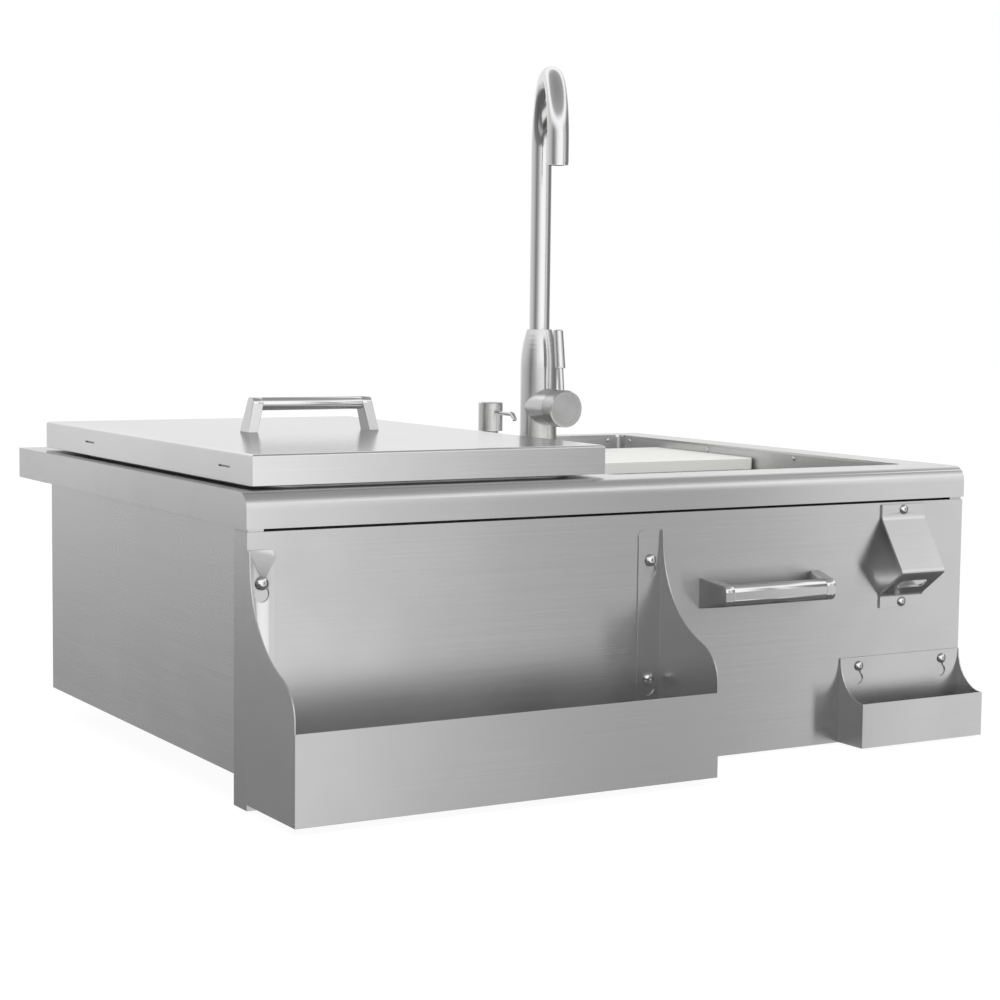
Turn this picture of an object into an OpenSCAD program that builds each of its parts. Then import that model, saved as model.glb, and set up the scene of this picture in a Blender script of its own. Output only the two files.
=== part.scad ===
// Built-in bar sink with an ice bin: a stainless deck with a lidded ice bin on the left, a sink recess
// on the right, and bar fittings hung on the front panel. Millimetres, +Z up, +X to the right, the front
// faces -Y. The origin is the middle of the rear flange's underside, where the unit rests on the counter.

/* [Deck] */
// Width of the deck over its side flanges
deck_w = 762; // [700:1:840]
// Depth of the deck, front face to back face
deck_d = 577; // [560:1:640]
// Sheet thickness of the deck
deck_t = 1.5; // [1:0.1:2.5]
// Height of the drop flange
flange_h = 30; // [27:1:40]
// Radius of the rolled front edge
nose_r = 14; // [8:1:18]
// Width of the lip returned under the flange
lip_w = 12; // [10:1:16]
// Deck strip in front of both openings
front_strip = 45; // [40:1:55]
// Deck strip behind the recess
back_strip = 28; // [24:1:40]
// Deck strip behind the ice opening
ice_back = 109; // [100:1:130]
// Deck strip between the two openings
mid_strip = 45.5; // [40:0.5:60]

/* [Body] */
// How far the deck stands out behind the body
overhang = 95; // [80:1:110]
// Height of the body below the flange
body_h = 204.5; // [200:1:260]
// How far the side panels stand in from the deck's sides
body_inset = 2; // [1.5:0.5:4]
// Sheet thickness of the body panels
body_t = 1.2; // [0.8:0.1:2]
// Width of the side panels' turned edges
side_flange = 14; // [10:1:20]

/* [Front panel] */
// Height of the front panel
panel_h = 228; // [222:1:290]
// Gap between the deck flange and the front panel
panel_gap = 2; // [1.5:0.5:4]
// How far the panel's face stands behind the deck's front face
panel_set = 0.8; // [0.5:0.1:3]
// Depth of the panel's folded edges
panel_return = 26.6; // [15:0.1:40]

/* [Sink] */
// Width of the recess opening
sink_w = 343; // [330:1:360]
// Deck strip on the right of the recess
side_strip = 39.5; // [30:0.5:50]
// Sheet thickness of the sink
sink_t = 1.2; // [0.8:0.1:2]
// Depth of the recess floor below the deck
recess_h = 22.5; // [21:0.5:26]
// Corner radius of the recess
recess_r = 7; // [4:1:14]
// Height of the deck's turned-down edge round the recess
recess_edge = 16; // [12:1:20]
// Deck edge left showing above the sink's wall
edge_show = 2.5; // [1:0.5:4]
// Width of the ledges at the sides and the front of the bowl
ledge_w = 17.5; // [14:0.5:25]
// Depth of the ledge behind the bowl, under the tap
tap_ledge = 91.5; // [85:0.5:120]
// Depth of the bowl below the recess floor
bowl_h = 162; // [120:1:165]
// Radius of the bowl's corners and bottom edge
bowl_r = 28; // [15:1:35]
// Distance of the drain behind the deck's front face
drain_y = 232; // [190:1:236]

/* [Strainer] */
// Radius of the drain hole
drain_r = 44; // [40:0.5:46]
// Width of the strainer's rim on the bowl floor
strainer_rim = 11; // [8:1:14]
// Depth of the strainer cup
cup_h = 40; // [36:1:44]
// Outer radius of the tailpiece
tail_r = 19; // [16:0.5:21]
// Distance of the tailpiece's end above the front panel's lower edge
tail_clear = 2; // [1:1:6]

/* [Ice bin] */
// Deck strip on the left of the ice opening
ice_strip = 36; // [33:1:40]
// Room between the bin's foam jacket and the floor panel
ice_room = 31.9; // [30:0.1:80]
// Radius of the bin's corners and bottom edge
ice_r = 25; // [15:1:35]
// Thickness of the foam jacket
foam_t = 11; // [6:0.5:11.5]
// Width of the bin's rim on the deck
rim_w = 8; // [6:0.5:10]
// Distance of the ice drain behind the deck's front face
ice_drain_y = 250; // [150:1:350]
// Outer radius of the ice drain's thread
ice_drain_r = 13; // [10:0.5:16]
// Outer radius of the ice drain's hose spigot
ice_hose_r = 10.5; // [8:0.5:12]
// Length of the ice drain's hose spigot
ice_hose_l = 20; // [16:1:22]

/* [Lid] */
// How far the lid reaches past each side of the ice opening
lid_over = 22; // [16:0.5:26]
// Deck strip behind the lid
lid_back = 43; // [30:1:60]
// Height of the lid's skirt
lid_h = 26; // [20:1:35]
// Distance of the lid's front behind the deck's front face
lid_y = 21.5; // [17:0.5:24]
// Gap between the deck and the lid's skirt
lid_gap = 3; // [2:0.5:5]
// Bend radius of the lid's edges
lid_bend = 2.5; // [1.5:0.5:4]
// Width of the hem under the lid's skirt
lid_hem = 9; // [6:0.5:10]
// How deep the lid's inner pan drops into the bin
lid_plug = 12; // [8:1:20]

/* [Handles] */
// Length of a handle at its feet
handle_l = 138; // [120:1:160]
// Projection of a handle
handle_h = 33; // [28:1:45]
// How far the handle ends lean in
handle_lean = 6.5; // [3:0.5:10]
// Width of the towel bar's oval tube
towel_w = 20; // [16:0.5:24]
// Thickness of the towel bar's oval tube
towel_t = 13; // [10:0.5:16]
// Width of the towel bar's feet
towel_foot = 28; // [24:1:36]
// Width of the lid handle's oval tube
grip_w = 16; // [14:0.5:20]
// Thickness of the lid handle's oval tube
grip_t = 12.5; // [10:0.5:14]
// Width of the lid handle's feet
grip_foot = 20; // [18:1:26]
// Thickness of a handle end
foot_t = 9.5; // [7:0.5:12]
// Distance of the towel bar's middle from the deck's right side
towel_in = 245.9; // [240:0.1:250]
// Distance of the towel bar below the deck
towel_drop = 107; // [95:1:130]
// Distance of the lid handle to the right of the lid's middle
grip_right = 12.9; // [0:0.1:20]
// Distance of the lid handle behind the lid's middle
grip_behind = 22.2; // [0:0.1:40]

/* [Cutting board] */
// Gap between the board and each side of the recess
board_gap = 2; // [1:0.5:4]
// Front to back depth of the board
board_d = 183; // [150:1:187]
// Thickness of the board
board_t = 13; // [10:0.5:16]
// Distance of the board in front of the tap's axis
board_in = 45.5; // [44:0.5:60]

/* [Tap] */
// Distance of the tap and soap pump in front of the recess's back wall
tap_in = 36; // [34:1:42]
// Distance of the tap to the right of the sink's middle
tap_x = 35; // [30:1:40]
// Radius of the tap's body
tap_r = 21; // [18:0.5:22]
// Height of the straight part of the tap's body
tap_h = 104; // [95:1:120]
// Height of the body's shoulder
shoulder_h = 43; // [30:1:60]
// Radius of the body's top
shoulder_r = 14.3; // [13:0.1:16]
// Height of the valve above the recess floor
valve_z = 59.5; // [50:0.5:65]
// Distance of the valve cap's face in front of the tap's axis
valve_l = 60; // [55:1:68]
// Length of the turning valve cap
cap_l = 18; // [16:1:22]
// Length of the lever above the valve's axis
lever_l = 88; // [75:0.5:100]
// How far the lever leans back, in degrees
lever_lean = 7; // [0:0.5:15]
// Radius of the spout tube
spout_r = 11.5; // [9:0.5:12]
// Wall of the spout tube
spout_t = 1.5; // [1:0.1:2.5]
// Height of the spout's outer top above the recess floor
spout_top = 433; // [400:1:480]
// Reach of the spout, riser to outlet
spout_reach = 150; // [120:1:180]
// Straight drop of the outlet below the arch
spout_drop = 22; // [14:1:40]
// Direction of the spout, turned from the front towards the left
spout_turn = 24.8; // [0:0.1:60]

/* [Soap pump] */
// Distance of the soap pump from the tap
soap_gap = 63; // [60:1:70]
// Radius of the pump head
head_r = 13.8; // [13.5:0.1:15]
// Height of the pump head's top above the recess floor
head_top = 65.4; // [60:0.1:75]
// Height of the pump head
head_h = 32; // [30:1:36]
// Length of the nozzle
nozzle_l = 54; // [45:1:60]
// Travel of the pump
pump_travel = 12; // [8:1:14]
// Radius of the soap bottle
bottle_r = 26; // [20:1:27]
// Height of the soap bottle
bottle_h = 120; // [80:1:140]

/* [Bottle rail] */
// Width of the front panel left free on the right of the bottle rail
rail_free = 356.6; // [350:0.2:400]
// Depth of the bottle rail
rail_d = 92; // [80:1:100]
// Height of the rail's end plates
rail_h = 208.5; // [205:0.5:212]
// Height of the rail's front plate
rail_front = 74.5; // [50:0.5:80]
// Radius of the hollow curve of the end plates
rail_curve = 91; // [80:1:92]
// Width of the hanging tabs
rail_tab = 25; // [20:0.5:35]
// Sheet thickness of the hung fittings
hung_t = 1.2; // [0.8:0.1:2]
// Distance of the rail's upper screws below the deck
rail_screw_hi = 73.8; // [70:0.2:90]
// Distance of the rail's lower screws below the deck
rail_screw_lo = 180.8; // [160:0.2:200]
// Lift that frees the rail from its screws
rail_lift = 9; // [8:0.5:12]
// Head radius of the rail's screws
rail_head = 5.6; // [5:0.1:6.5]

/* [Cap catcher] */
// Width of the cap catcher
catch_w = 148.6; // [120:0.2:160]
// Depth of the cap catcher
catch_d = 36; // [30:1:45]
// Height of the catcher's back plate
catch_h = 80.5; // [70:0.5:82]
// Height of the catcher's front plate
catch_front = 42; // [30:0.5:50]
// Distance of the catcher's screws below its upper edge
catch_screw_drop = 8.5; // [7.5:0.5:12]
// Distance of the catcher's screws from its ends
catch_screw_in = 22.5; // [15:0.5:35]
// Lift that frees the catcher from its screws
catch_lift = 12; // [9:0.5:14]
// Head radius of the catcher's and opener's screws
small_head = 4.8; // [4.5:0.1:5.2]

/* [Bottle opener] */
// Width of the opener
opener_w = 52.5; // [45:0.5:65]
// Distance of the opener's middle from the deck's right side
opener_in = 77; // [70:0.5:80]
// Distance of the opener's top below the deck
opener_z = 34; // [33:0.5:40]
// Sheet thickness of the opener
opener_t = 2; // [1.5:0.1:3]
// Height of the opener's tabs
opener_tab = 13; // [12.5:0.5:16]
// Height of the sloping plate
opener_slope = 49.5; // [45:0.5:60]
// Projection of the opener's nose
opener_out = 33; // [25:0.5:36]
// Height of the lower plate
opener_under = 24; // [18:0.5:28]

/* [Hidden] */
$fn = 64;

steel = [0.76, 0.77, 0.78];
bright = [0.86, 0.87, 0.88];
rubber = [0.12, 0.12, 0.13];
board_white = [0.93, 0.93, 0.9];
foam_white = [0.95, 0.94, 0.88];
soap_clear = [0.85, 0.88, 0.9];

// Overrun of cuts, clearance of still round fits, radial clearance of turning fits, gap at rest
over = 1;
fit = 0.2;
run = 0.06;
rest = 0.3;
bend_steps = 8;

// Places worked out from the sizes, in the deck's frame: middle of the width, front face, deck top
body_d = deck_d - overhang;
sink_d = deck_d - front_strip - back_strip;
sink_x = deck_w/2 - side_strip - sink_w/2;
sink_back = front_strip + sink_d;
ledge_y = sink_back - tap_in;
bowl_d = sink_d - ledge_w - tap_ledge;
bowl_w = sink_w - 2*ledge_w;
bowl_front = front_strip + ledge_w;
bowl_y = bowl_front + bowl_d/2;
floor_z = -recess_h;
bowl_z = floor_z - bowl_h;
ice_w = deck_w - ice_strip - mid_strip - sink_w - side_strip;
ice_d = deck_d - front_strip - ice_back;
rim_t = 1.2;
liner_t = 1.2;
ice_h = flange_h + body_h - 2*body_t - ice_room - foam_t - liner_t;
ice_x = -deck_w/2 + ice_strip + ice_w/2;
ice_y = front_strip + ice_d/2;
side_x = deck_w/2 - body_inset;
body_z = -flange_h - body_h;
panel_z = -flange_h - panel_gap - panel_h;
panel_y = panel_set;
board_y = ledge_y - board_in - board_d;
tap_px = sink_x + tap_x;
soap_px = tap_px - soap_gap;
rail_w = 2*side_x + 2*body_t - rail_free;
rail_x = -side_x - body_t + rail_w/2;
rail_rise = 5;
rail_z = panel_z + rail_rise;
catch_x = deck_w/2 - panel_set - catch_w/2;
catch_rise = 0.4;
catch_z = panel_z + catch_rise;
catch_top = catch_z + catch_h;
towel_x = deck_w/2 - towel_in;
towel_z = -towel_drop;
opener_x = deck_w/2 - opener_in;
lid_w = ice_w + 2*lid_over;
lid_d = deck_d - lid_y - lid_back;
lid_shift = 0.6;
lid_x = ice_x + lid_shift;
lid_top = lid_gap + lid_h;
grip_y = lid_y + lid_d/2 + grip_behind;
grip_x = lid_x + grip_right;
sheet_lid = 1.2;
screw_r = 2.25;
shoulder_gap = 0.35;

// Sets a deck-frame shape into the part's frame
module seat() translate([0, lip_w/2 - deck_d, flange_h]) children();

// Lays a profile drawn as (y, z) along X
module along_x(w) translate([-w/2, 0, 0]) rotate([90, 0, 90]) linear_extrude(w) children();

// Rounded rectangle, centred
module rrect(w, d, r) {
  square([w - 2*r, d], center = true);
  square([w, d - 2*r], center = true);
  for (sx = [-1, 1], sy = [-1, 1]) translate([sx*(w/2 - r), sy*(d/2 - r)]) circle(r);
}

module block(x0, x1, y0, y1, z0, z1) translate([x0, y0, z0]) cube([x1 - x0, y1 - y0, z1 - z0]);

// Rounded tub below z = 0, with its mouth up
module tub(w, d, h, r) {
  translate([0, 0, r - h]) linear_extrude(h - r) rrect(w, d, r);
  translate([0, 0, -h/2 - over/2]) cube([w - 2*r, d - 2*r, h - over], center = true);
  for (s = [-1, 1]) {
    translate([0, s*(d/2 - r), r - h]) rotate([0, 90, 0]) cylinder(r = r, h = w - 2*r, center = true);
    translate([s*(w/2 - r), 0, r - h]) rotate([90, 0, 0]) cylinder(r = r, h = d - 2*r, center = true);
  }
  for (sx = [-1, 1], sy = [-1, 1]) translate([sx*(w/2 - r), sy*(d/2 - r), r - h]) sphere(r);
  translate([0, 0, -h]) linear_extrude(h/2) square([w - 2*r, d - 2*r], center = true);
}

module tube(r_out, r_in, h) {
  difference() {
    cylinder(r = r_out, h = h);
    translate([0, 0, -over]) cylinder(r = r_in, h = h + 2*over);
  }
}

function arc(c, r, a0, a1, n) = [for (i = [0 : n]) let (a = a0 + (a1 - a0)*i/n) c + r*[cos(a), sin(a)]];
function unit(v) = v/norm(v);
function side_of(v) = [-v[1], v[0]];
function side_at(p, i) =
  let (n = len(p))
  i == 0 ? side_of(unit(p[1] - p[0])) :
  i == n - 1 ? side_of(unit(p[n - 1] - p[n - 2])) :
  let (a = side_of(unit(p[i] - p[i - 1])), b = side_of(unit(p[i + 1] - p[i]))) (a + b)/(1 + a*b);

// Outline of a bent sheet whose middle line is p and whose thickness is t
function sheet(p, t) = concat(
  [for (i = [0 : len(p) - 1]) p[i] + side_at(p, i)*t/2],
  [for (i = [len(p) - 1 : -1 : 0]) p[i] - side_at(p, i)*t/2]
);

// Path p with each inner corner turned into a bend of reach r
function bent(p, r) = concat(
  [p[0]],
  [for (i = [1 : len(p) - 2]) each
    let (a = p[i] + unit(p[i - 1] - p[i])*r, b = p[i], c = p[i + 1], d = p[i] + unit(c - b)*r)
    [for (k = [0 : bend_steps]) let (t = k/bend_steps) (1 - t)*(1 - t)*a + 2*t*(1 - t)*b + t*t*d]],
  [p[len(p) - 1]]
);

dome_share = 0.62;
nut_h_share = 1.6;

// Dome head screw along -Y with its head's underside at y = 0 and its nut at y = grip
module dome_screw(head, shank, grip, nut) {
  thick = shank*nut_h_share;
  tail = nut ? thick + shank : 0;
  rotate([90, 0, 0]) {
    rotate_extrude()
      polygon(concat([[0, 0], [head, 0]], arc([0, 0], head, 0, 90, bend_steps) * [[1, 0], [0, dome_share]]));
    translate([0, 0, -grip - tail]) cylinder(r = shank, h = grip + tail);
    if (nut) translate([0, 0, -grip - thick]) cylinder(r = shank*2, h = thick, $fn = 6);
  }
}

// Keyhole: a round hole with a slot that runs up from it, cut through y
module keyhole(hole, slot, rise, t) {
  rotate([90, 0, 0]) translate([0, 0, -t]) {
    cylinder(r = hole, h = 2*t);
    translate([-slot, 0, 0]) cube([2*slot, rise, 2*t]);
    translate([0, rise, 0]) cylinder(r = slot, h = 2*t);
  }
}

// Deck profile, front at y = 0, with the rolled nose, drawn in by t on the outside
module deck_profile(t) {
  polygon(concat(
    [[deck_d - t, -flange_h + t], [deck_d - t, -t]],
    arc([nose_r, -nose_r], nose_r - t, 90, 180, 2*bend_steps),
    [[t, -flange_h + t]]
  ));
}

module sink_hole(grow, z0, z1) {
  translate([sink_x, front_strip + sink_d/2, z0])
    linear_extrude(z1 - z0) rrect(sink_w + 2*grow, sink_d + 2*grow, recess_r + grow);
}

module ice_hole(grow, z0, z1) {
  translate([ice_x, ice_y, z0]) linear_extrude(z1 - z0) rrect(ice_w + 2*grow, ice_d + 2*grow, ice_r + grow);
}

// Places of the recess screws: side walls, then back and front walls
recess_in_share = 0.043;
recess_pitch_share = 0.3083;
recess_screw_z = -6;
recess_screw_n = 3;
side_in = sink_d*recess_in_share;
side_pitch = sink_d*recess_pitch_share;
back_in = 18.5;
recess_head = 2.6;
recess_shank = 1.5;

module on_recess_walls() {
  for (i = [0 : recess_screw_n - 1]) {
    y = sink_back - side_in - i*side_pitch;
    translate([sink_x + sink_w/2 - sink_t, y, recess_screw_z]) rotate([0, 0, -90]) children();
    translate([sink_x - sink_w/2 + sink_t, y, recess_screw_z]) rotate([0, 0, 90]) children();
    x = sink_x + (i - 1)*(sink_w/2 - back_in);
    translate([x, sink_back - sink_t, recess_screw_z]) children();
    translate([x, front_strip + sink_t, recess_screw_z]) rotate([0, 0, 180]) children();
  }
}

// Behind the body the lip under the flange lies on the counter. Over the body it stands a little higher.
lip_step = 0.3;
lip_free = 10;
rest_y = body_d + lip_free;
under_z = -flange_h + lip_step;

module recess_bore() {
  rotate([90, 0, 0]) translate([0, 0, -2*deck_t - sink_t]) cylinder(r = recess_shank + fit, h = 4*deck_t);
}

module top_deck() {
  inner_x = deck_w - 2*deck_t;
  lip_top = -flange_h + deck_t;
  color(steel) seat() difference() {
    union() {
      difference() {
        union() {
          difference() {
            along_x(deck_w) deck_profile(0);
            along_x(inner_x) deck_profile(deck_t);
          }
          block(-inner_x/2, inner_x/2, deck_t, rest_y, lip_top, lip_top + lip_step);
        }
        block(-deck_w/2 + lip_w, deck_w/2 - lip_w, lip_w, deck_d - lip_w, -flange_h - over, -flange_h/2);
        block(-deck_w, deck_w, -over, rest_y, -flange_h - over, under_z);
      }
      sink_hole(deck_t, -recess_edge, 0);
    }
    sink_hole(0, -recess_edge - over, over);
    ice_hole(0, -flange_h, over);
    on_recess_walls() recess_bore();
  }
}

// One side panel with its four edges turned in, for the left side
module side_panel() {
  block(0, body_t, panel_y + body_t, body_d - body_t, body_z, under_z);
  difference() {
    block(0, side_flange, panel_y + body_t, body_d - body_t, body_z, under_z);
    block(-over, side_flange + over, panel_y + 2*body_t, body_d - 2*body_t, body_z + body_t, under_z - body_t);
    for (z = back_screw_z) translate([side_flange/2, body_d, z]) back_bore();
  }
}

module back_bore() translate([0, over, 0]) rotate([90, 0, 0]) cylinder(r = back_shank + fit, h = 4*over + 2*body_t);

back_shank = 1.75;
back_head = 3.6;
back_screw_in = 14.2;
back_screw_low = 24.7;
back_pitch = (body_h - back_screw_in - back_screw_low)/2;
back_screw_z = [for (i = [0 : 2]) -flange_h - back_screw_in - i*back_pitch];

// The left panel's front edge has holes round the rail's nuts
module side_left() {
  color(steel) seat() difference() {
    translate([-side_x, 0, 0]) side_panel();
    for (z = [-rail_screw_hi, -rail_screw_lo]) translate([rail_screw_x[0], body_d/2, z]) rotate([90, 0, 0])
      cylinder(r = 2*screw_r + fit, h = body_d);
  }
}

module side_right() color(steel) seat() mirror([1, 0, 0]) translate([-side_x, 0, 0]) side_panel();

module back_panel() {
  top = floor_z - sink_t - rest;
  neck = deck_w/2 - lip_w - rest;
  color(steel) seat() difference() {
    union() {
      block(-side_x, side_x, body_d - body_t, body_d, body_z, under_z);
      block(-neck, neck, body_d - body_t, body_d, -flange_h - over, top);
    }
    for (s = [-1, 1], z = back_screw_z) translate([s*(side_x - side_flange/2), body_d, z]) back_bore();
  }
}

module back_screws() {
  color(bright) seat() for (s = [-1, 1], z = back_screw_z)
    translate([s*(side_x - side_flange/2), body_d, z]) rotate([0, 0, 180])
      dome_screw(back_head, back_shank, 4*body_t, false);
}

module floor_panel() {
  z = body_z + body_t;
  x = side_x - body_t - fit;
  color(steel) seat() difference() {
    block(-x, x, panel_y + 2*body_t + fit, body_d - 2*body_t - fit, z, z + body_t);
    translate([sink_x, drain_y, z - over]) cylinder(r = drain_r + strainer_rim, h = body_t + 2*over);
    translate([ice_x, ice_drain_y, z - over]) cylinder(r = ice_drain_r + fit, h = body_t + 2*over);
  }
}

// Every hole that a front fitting's fastener needs, with its radius
module panel_holes() {
  for (x = rail_screw_x, z = [-rail_screw_hi, -rail_screw_lo]) translate([x, 0, z]) panel_hole(screw_r + fit);
  for (x = catch_screw_x) translate([x, 0, catch_top - catch_screw_drop]) panel_hole(screw_r + fit);
  for (z = opener_screw_z) translate([opener_x, 0, z]) panel_hole(screw_r + fit);
  for (s = [-1, 1]) translate([towel_x + s*(handle_l - foot_t)/2, 0, towel_z]) panel_hole(handle_screw + fit);
}

module panel_hole(r) translate([0, panel_y + 2*body_t, 0]) rotate([90, 0, 0]) cylinder(r = r, h = 3*body_t);

module front_panel() {
  x = side_x + body_t;
  top = -flange_h - panel_gap;
  deep = panel_y + panel_return;
  color(steel) seat() difference() {
    union() {
      block(-x, x, panel_y, panel_y + body_t, panel_z, top);
      for (s = [0, 1]) mirror([s, 0, 0]) block(-x, -side_x, panel_y, deep, panel_z, top);
      block(-x, x, panel_y, deep, panel_z, panel_z + body_t);
      block(-side_x + side_flange + rest, side_x - side_flange - rest, panel_y, deep, top - body_t, top);
    }
    panel_holes();
  }
}

module sink() {
  color(steel) seat() difference() {
    union() {
      sink_hole(0, floor_z - sink_t, -edge_show);
      translate([sink_x, bowl_y, floor_z])
        tub(bowl_w + 2*sink_t, bowl_d + 2*sink_t, bowl_h + sink_t, bowl_r + sink_t);
    }
    sink_hole(-sink_t, floor_z, over);
    translate([sink_x, bowl_y, floor_z]) {
      tub(bowl_w, bowl_d, bowl_h, bowl_r);
      translate([0, 0, -sink_t]) linear_extrude(2*sink_t) rrect(bowl_w, bowl_d, bowl_r);
    }
    translate([sink_x, drain_y, bowl_z - 2*sink_t]) cylinder(r = drain_r, h = 4*sink_t);
    translate([tap_px, ledge_y, floor_z - 2*sink_t]) cylinder(r = shank_r + fit, h = 4*sink_t);
    translate([soap_px, ledge_y, floor_z - 2*sink_t]) cylinder(r = collar_shank + fit, h = 4*sink_t);
    on_recess_walls() recess_bore();
  }
}

module recess_screws() {
  color(bright) seat() on_recess_walls() dome_screw(recess_head, recess_shank, 2*deck_t + sink_t, false);
}

// Strainer: a flanged cup with a tail spigot
cup_gap = 1.7;
cup_r = drain_r - cup_gap;
cup_t = 1.5;
spigot_h = 9;
gasket_t = 3;
nut_h = 9;
rim_h = 1.5;

module strainer() {
  color(bright) seat() translate([sink_x, drain_y, bowl_z]) difference() {
    union() {
      cylinder(r = drain_r + strainer_rim, h = rim_h);
      translate([0, 0, -cup_h]) cylinder(r = cup_r, h = cup_h + rim_h/2);
      translate([0, 0, -cup_h - spigot_h]) cylinder(r = tail_r, h = spigot_h + cup_t);
    }
    translate([0, 0, cup_t - cup_h]) cylinder(r = cup_r - cup_t, h = cup_h + rim_h + over);
    translate([0, 0, -cup_h - spigot_h - over]) cylinder(r = tail_r - cup_t, h = spigot_h + 2*over + cup_t);
  }
}

module strainer_gasket() {
  color(rubber) seat() translate([sink_x, drain_y, bowl_z - sink_t - gasket_t])
    tube(drain_r + strainer_rim, cup_r + fit, gasket_t);
}

module strainer_nut() {
  lug_n = 8;
  lug_r = 4;
  nut_in = 3;
  nut_out = drain_r + strainer_rim - nut_in;
  color(bright) seat() translate([sink_x, drain_y, bowl_z - sink_t - gasket_t - nut_h]) difference() {
    union() {
      cylinder(r = nut_out, h = nut_h);
      for (i = [1 : lug_n]) rotate([0, 0, i*360/lug_n]) translate([nut_out, 0, 0]) cylinder(r = lug_r, h = nut_h);
    }
    translate([0, 0, -over]) cylinder(r = cup_r + fit, h = nut_h + 2*over);
  }
}

module tailpiece() {
  top = bowl_z - cup_h - spigot_h;
  low = panel_z + tail_clear;
  slip = 5;
  color(bright) seat() translate([sink_x, drain_y, low]) difference() {
    union() {
      cylinder(r = tail_r, h = top - low);
      translate([0, 0, top - low - slip]) cylinder(r = tail_r + 4*cup_t, h = slip + spigot_h/2);
    }
    translate([0, 0, -over]) cylinder(r = tail_r - cup_t, h = top - low + 2*over);
    translate([0, 0, top - low]) cylinder(r = tail_r + fit, h = spigot_h);
  }
}

// Basket: a perforated cup with a rim and a lifting knob
basket_n = 14;
basket_hole = 2.2;
basket_gap = 1.3;
basket_low = 9;
basket_taper = 10;
basket_over = 3;
outer_ring_share = 0.74;
inner_ring_share = 0.4;

module strainer_basket() {
  r = cup_r - cup_t - basket_gap;
  h = cup_h - basket_low;
  floor_r = r - basket_taper;
  rim = cup_r + basket_over;
  wall = 1;
  stem = 3;
  knob_r = 8;
  knob_h = 6;
  knob_drop = 3;
  color(bright) seat() translate([sink_x, drain_y, bowl_z]) {
    difference() {
      rotate_extrude() polygon([
        [0, -h], [floor_r, -h], [r, basket_taper - h], [r, rim_h], [rim, rim_h + rest], [rim, rim_h + rest + wall],
        [r - wall, rim_h + wall], [r - wall, basket_taper - h], [floor_r - wall/2, wall - h], [0, wall - h]
      ]);
      for (i = [1 : basket_n]) rotate([0, 0, i*360/basket_n]) translate([floor_r*outer_ring_share, 0, -h - over])
        cylinder(r = basket_hole, h = wall + 2*over);
      for (i = [1 : basket_n/2]) rotate([0, 0, i*720/basket_n]) translate([floor_r*inner_ring_share, 0, -h - over])
        cylinder(r = basket_hole, h = wall + 2*over);
    }
    translate([0, 0, -h]) cylinder(r = stem, h = h - knob_drop - knob_h/2);
    translate([0, 0, -knob_drop - knob_h]) cylinder(r1 = knob_r - stem, r2 = knob_r, h = knob_h);
  }
}

// Ice bin liner with a rim that lies on the deck
module ice_liner() {
  w = ice_w - 2*fit - 2*liner_t;
  d = ice_d - 2*fit - 2*liner_t;
  color(steel) seat() translate([ice_x, ice_y, 0]) difference() {
    union() {
      tub(ice_w - 2*fit, ice_d - 2*fit, ice_h + liner_t, ice_r);
      linear_extrude(rim_t) rrect(ice_w + 2*rim_w, ice_d + 2*rim_w, ice_r + rim_w);
    }
    tub(w, d, ice_h, ice_r - liner_t);
    translate([0, 0, -over]) linear_extrude(3*over) rrect(w, d, ice_r - liner_t);
    translate([0, ice_drain_y - ice_y, -ice_h - 2*liner_t]) cylinder(r = ice_drain_r + fit, h = 4*liner_t);
  }
}

module ice_foam() {
  bottom = ice_h + liner_t + foam_t;
  color(foam_white) seat() translate([ice_x, ice_y, 0]) difference() {
    translate([0, 0, -bottom]) linear_extrude(bottom - deck_t)
      rrect(ice_w + 2*foam_t, ice_d + 2*foam_t, ice_r + foam_t);
    tub(ice_w - fit, ice_d - fit, ice_h + liner_t, ice_r + fit/2);
    translate([0, ice_drain_y - ice_y, -bottom - over]) cylinder(r = ice_drain_r + fit, h = 2*foam_t);
  }
}

module ice_drain() {
  rim = 8;
  low = panel_z + 2*tail_clear;
  color(bright) seat() translate([ice_x, ice_drain_y, 0]) difference() {
    union() {
      translate([0, 0, -ice_h]) cylinder(r = ice_drain_r + rim, h = rim_h);
      translate([0, 0, low + ice_hose_l]) cylinder(r = ice_drain_r, h = -ice_h - low - ice_hose_l + rim_h/2);
      translate([0, 0, low]) cylinder(r = ice_hose_r, h = 2*ice_hose_l);
    }
    translate([0, 0, low - over]) cylinder(r = ice_hose_r - cup_t, h = -low);
  }
}

module ice_drain_nut() {
  z = -ice_h - liner_t - foam_t - nut_h;
  color(bright) seat() translate([ice_x, ice_drain_y, z]) difference() {
    cylinder(r = ice_drain_r*nut_h_share, h = nut_h, $fn = 6);
    translate([0, 0, -over]) cylinder(r = ice_drain_r + fit, h = nut_h + 2*over, $fn = 64);
  }
}

module box_end(a, b, h, r) {
  right = arc([b - r, h - r], r, 0, 90, bend_steps);
  left = arc([a + r, h - r], r, 90, 180, bend_steps);
  polygon(concat([[a, 0], [b, 0]], right, left));
}

// Box with bent upper edges, from z = 0 up
module bent_box(w, d, h, r) {
  intersection() {
    along_x(w) box_end(0, d, h, r);
    translate([0, d, 0]) rotate([90, 0, 0]) linear_extrude(d) box_end(-w/2, w/2, h, r);
  }
}

slit_l = 24;
slit_h = 1.5;
slit_z = 12;
slit_y = [58.5, 385];

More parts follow.
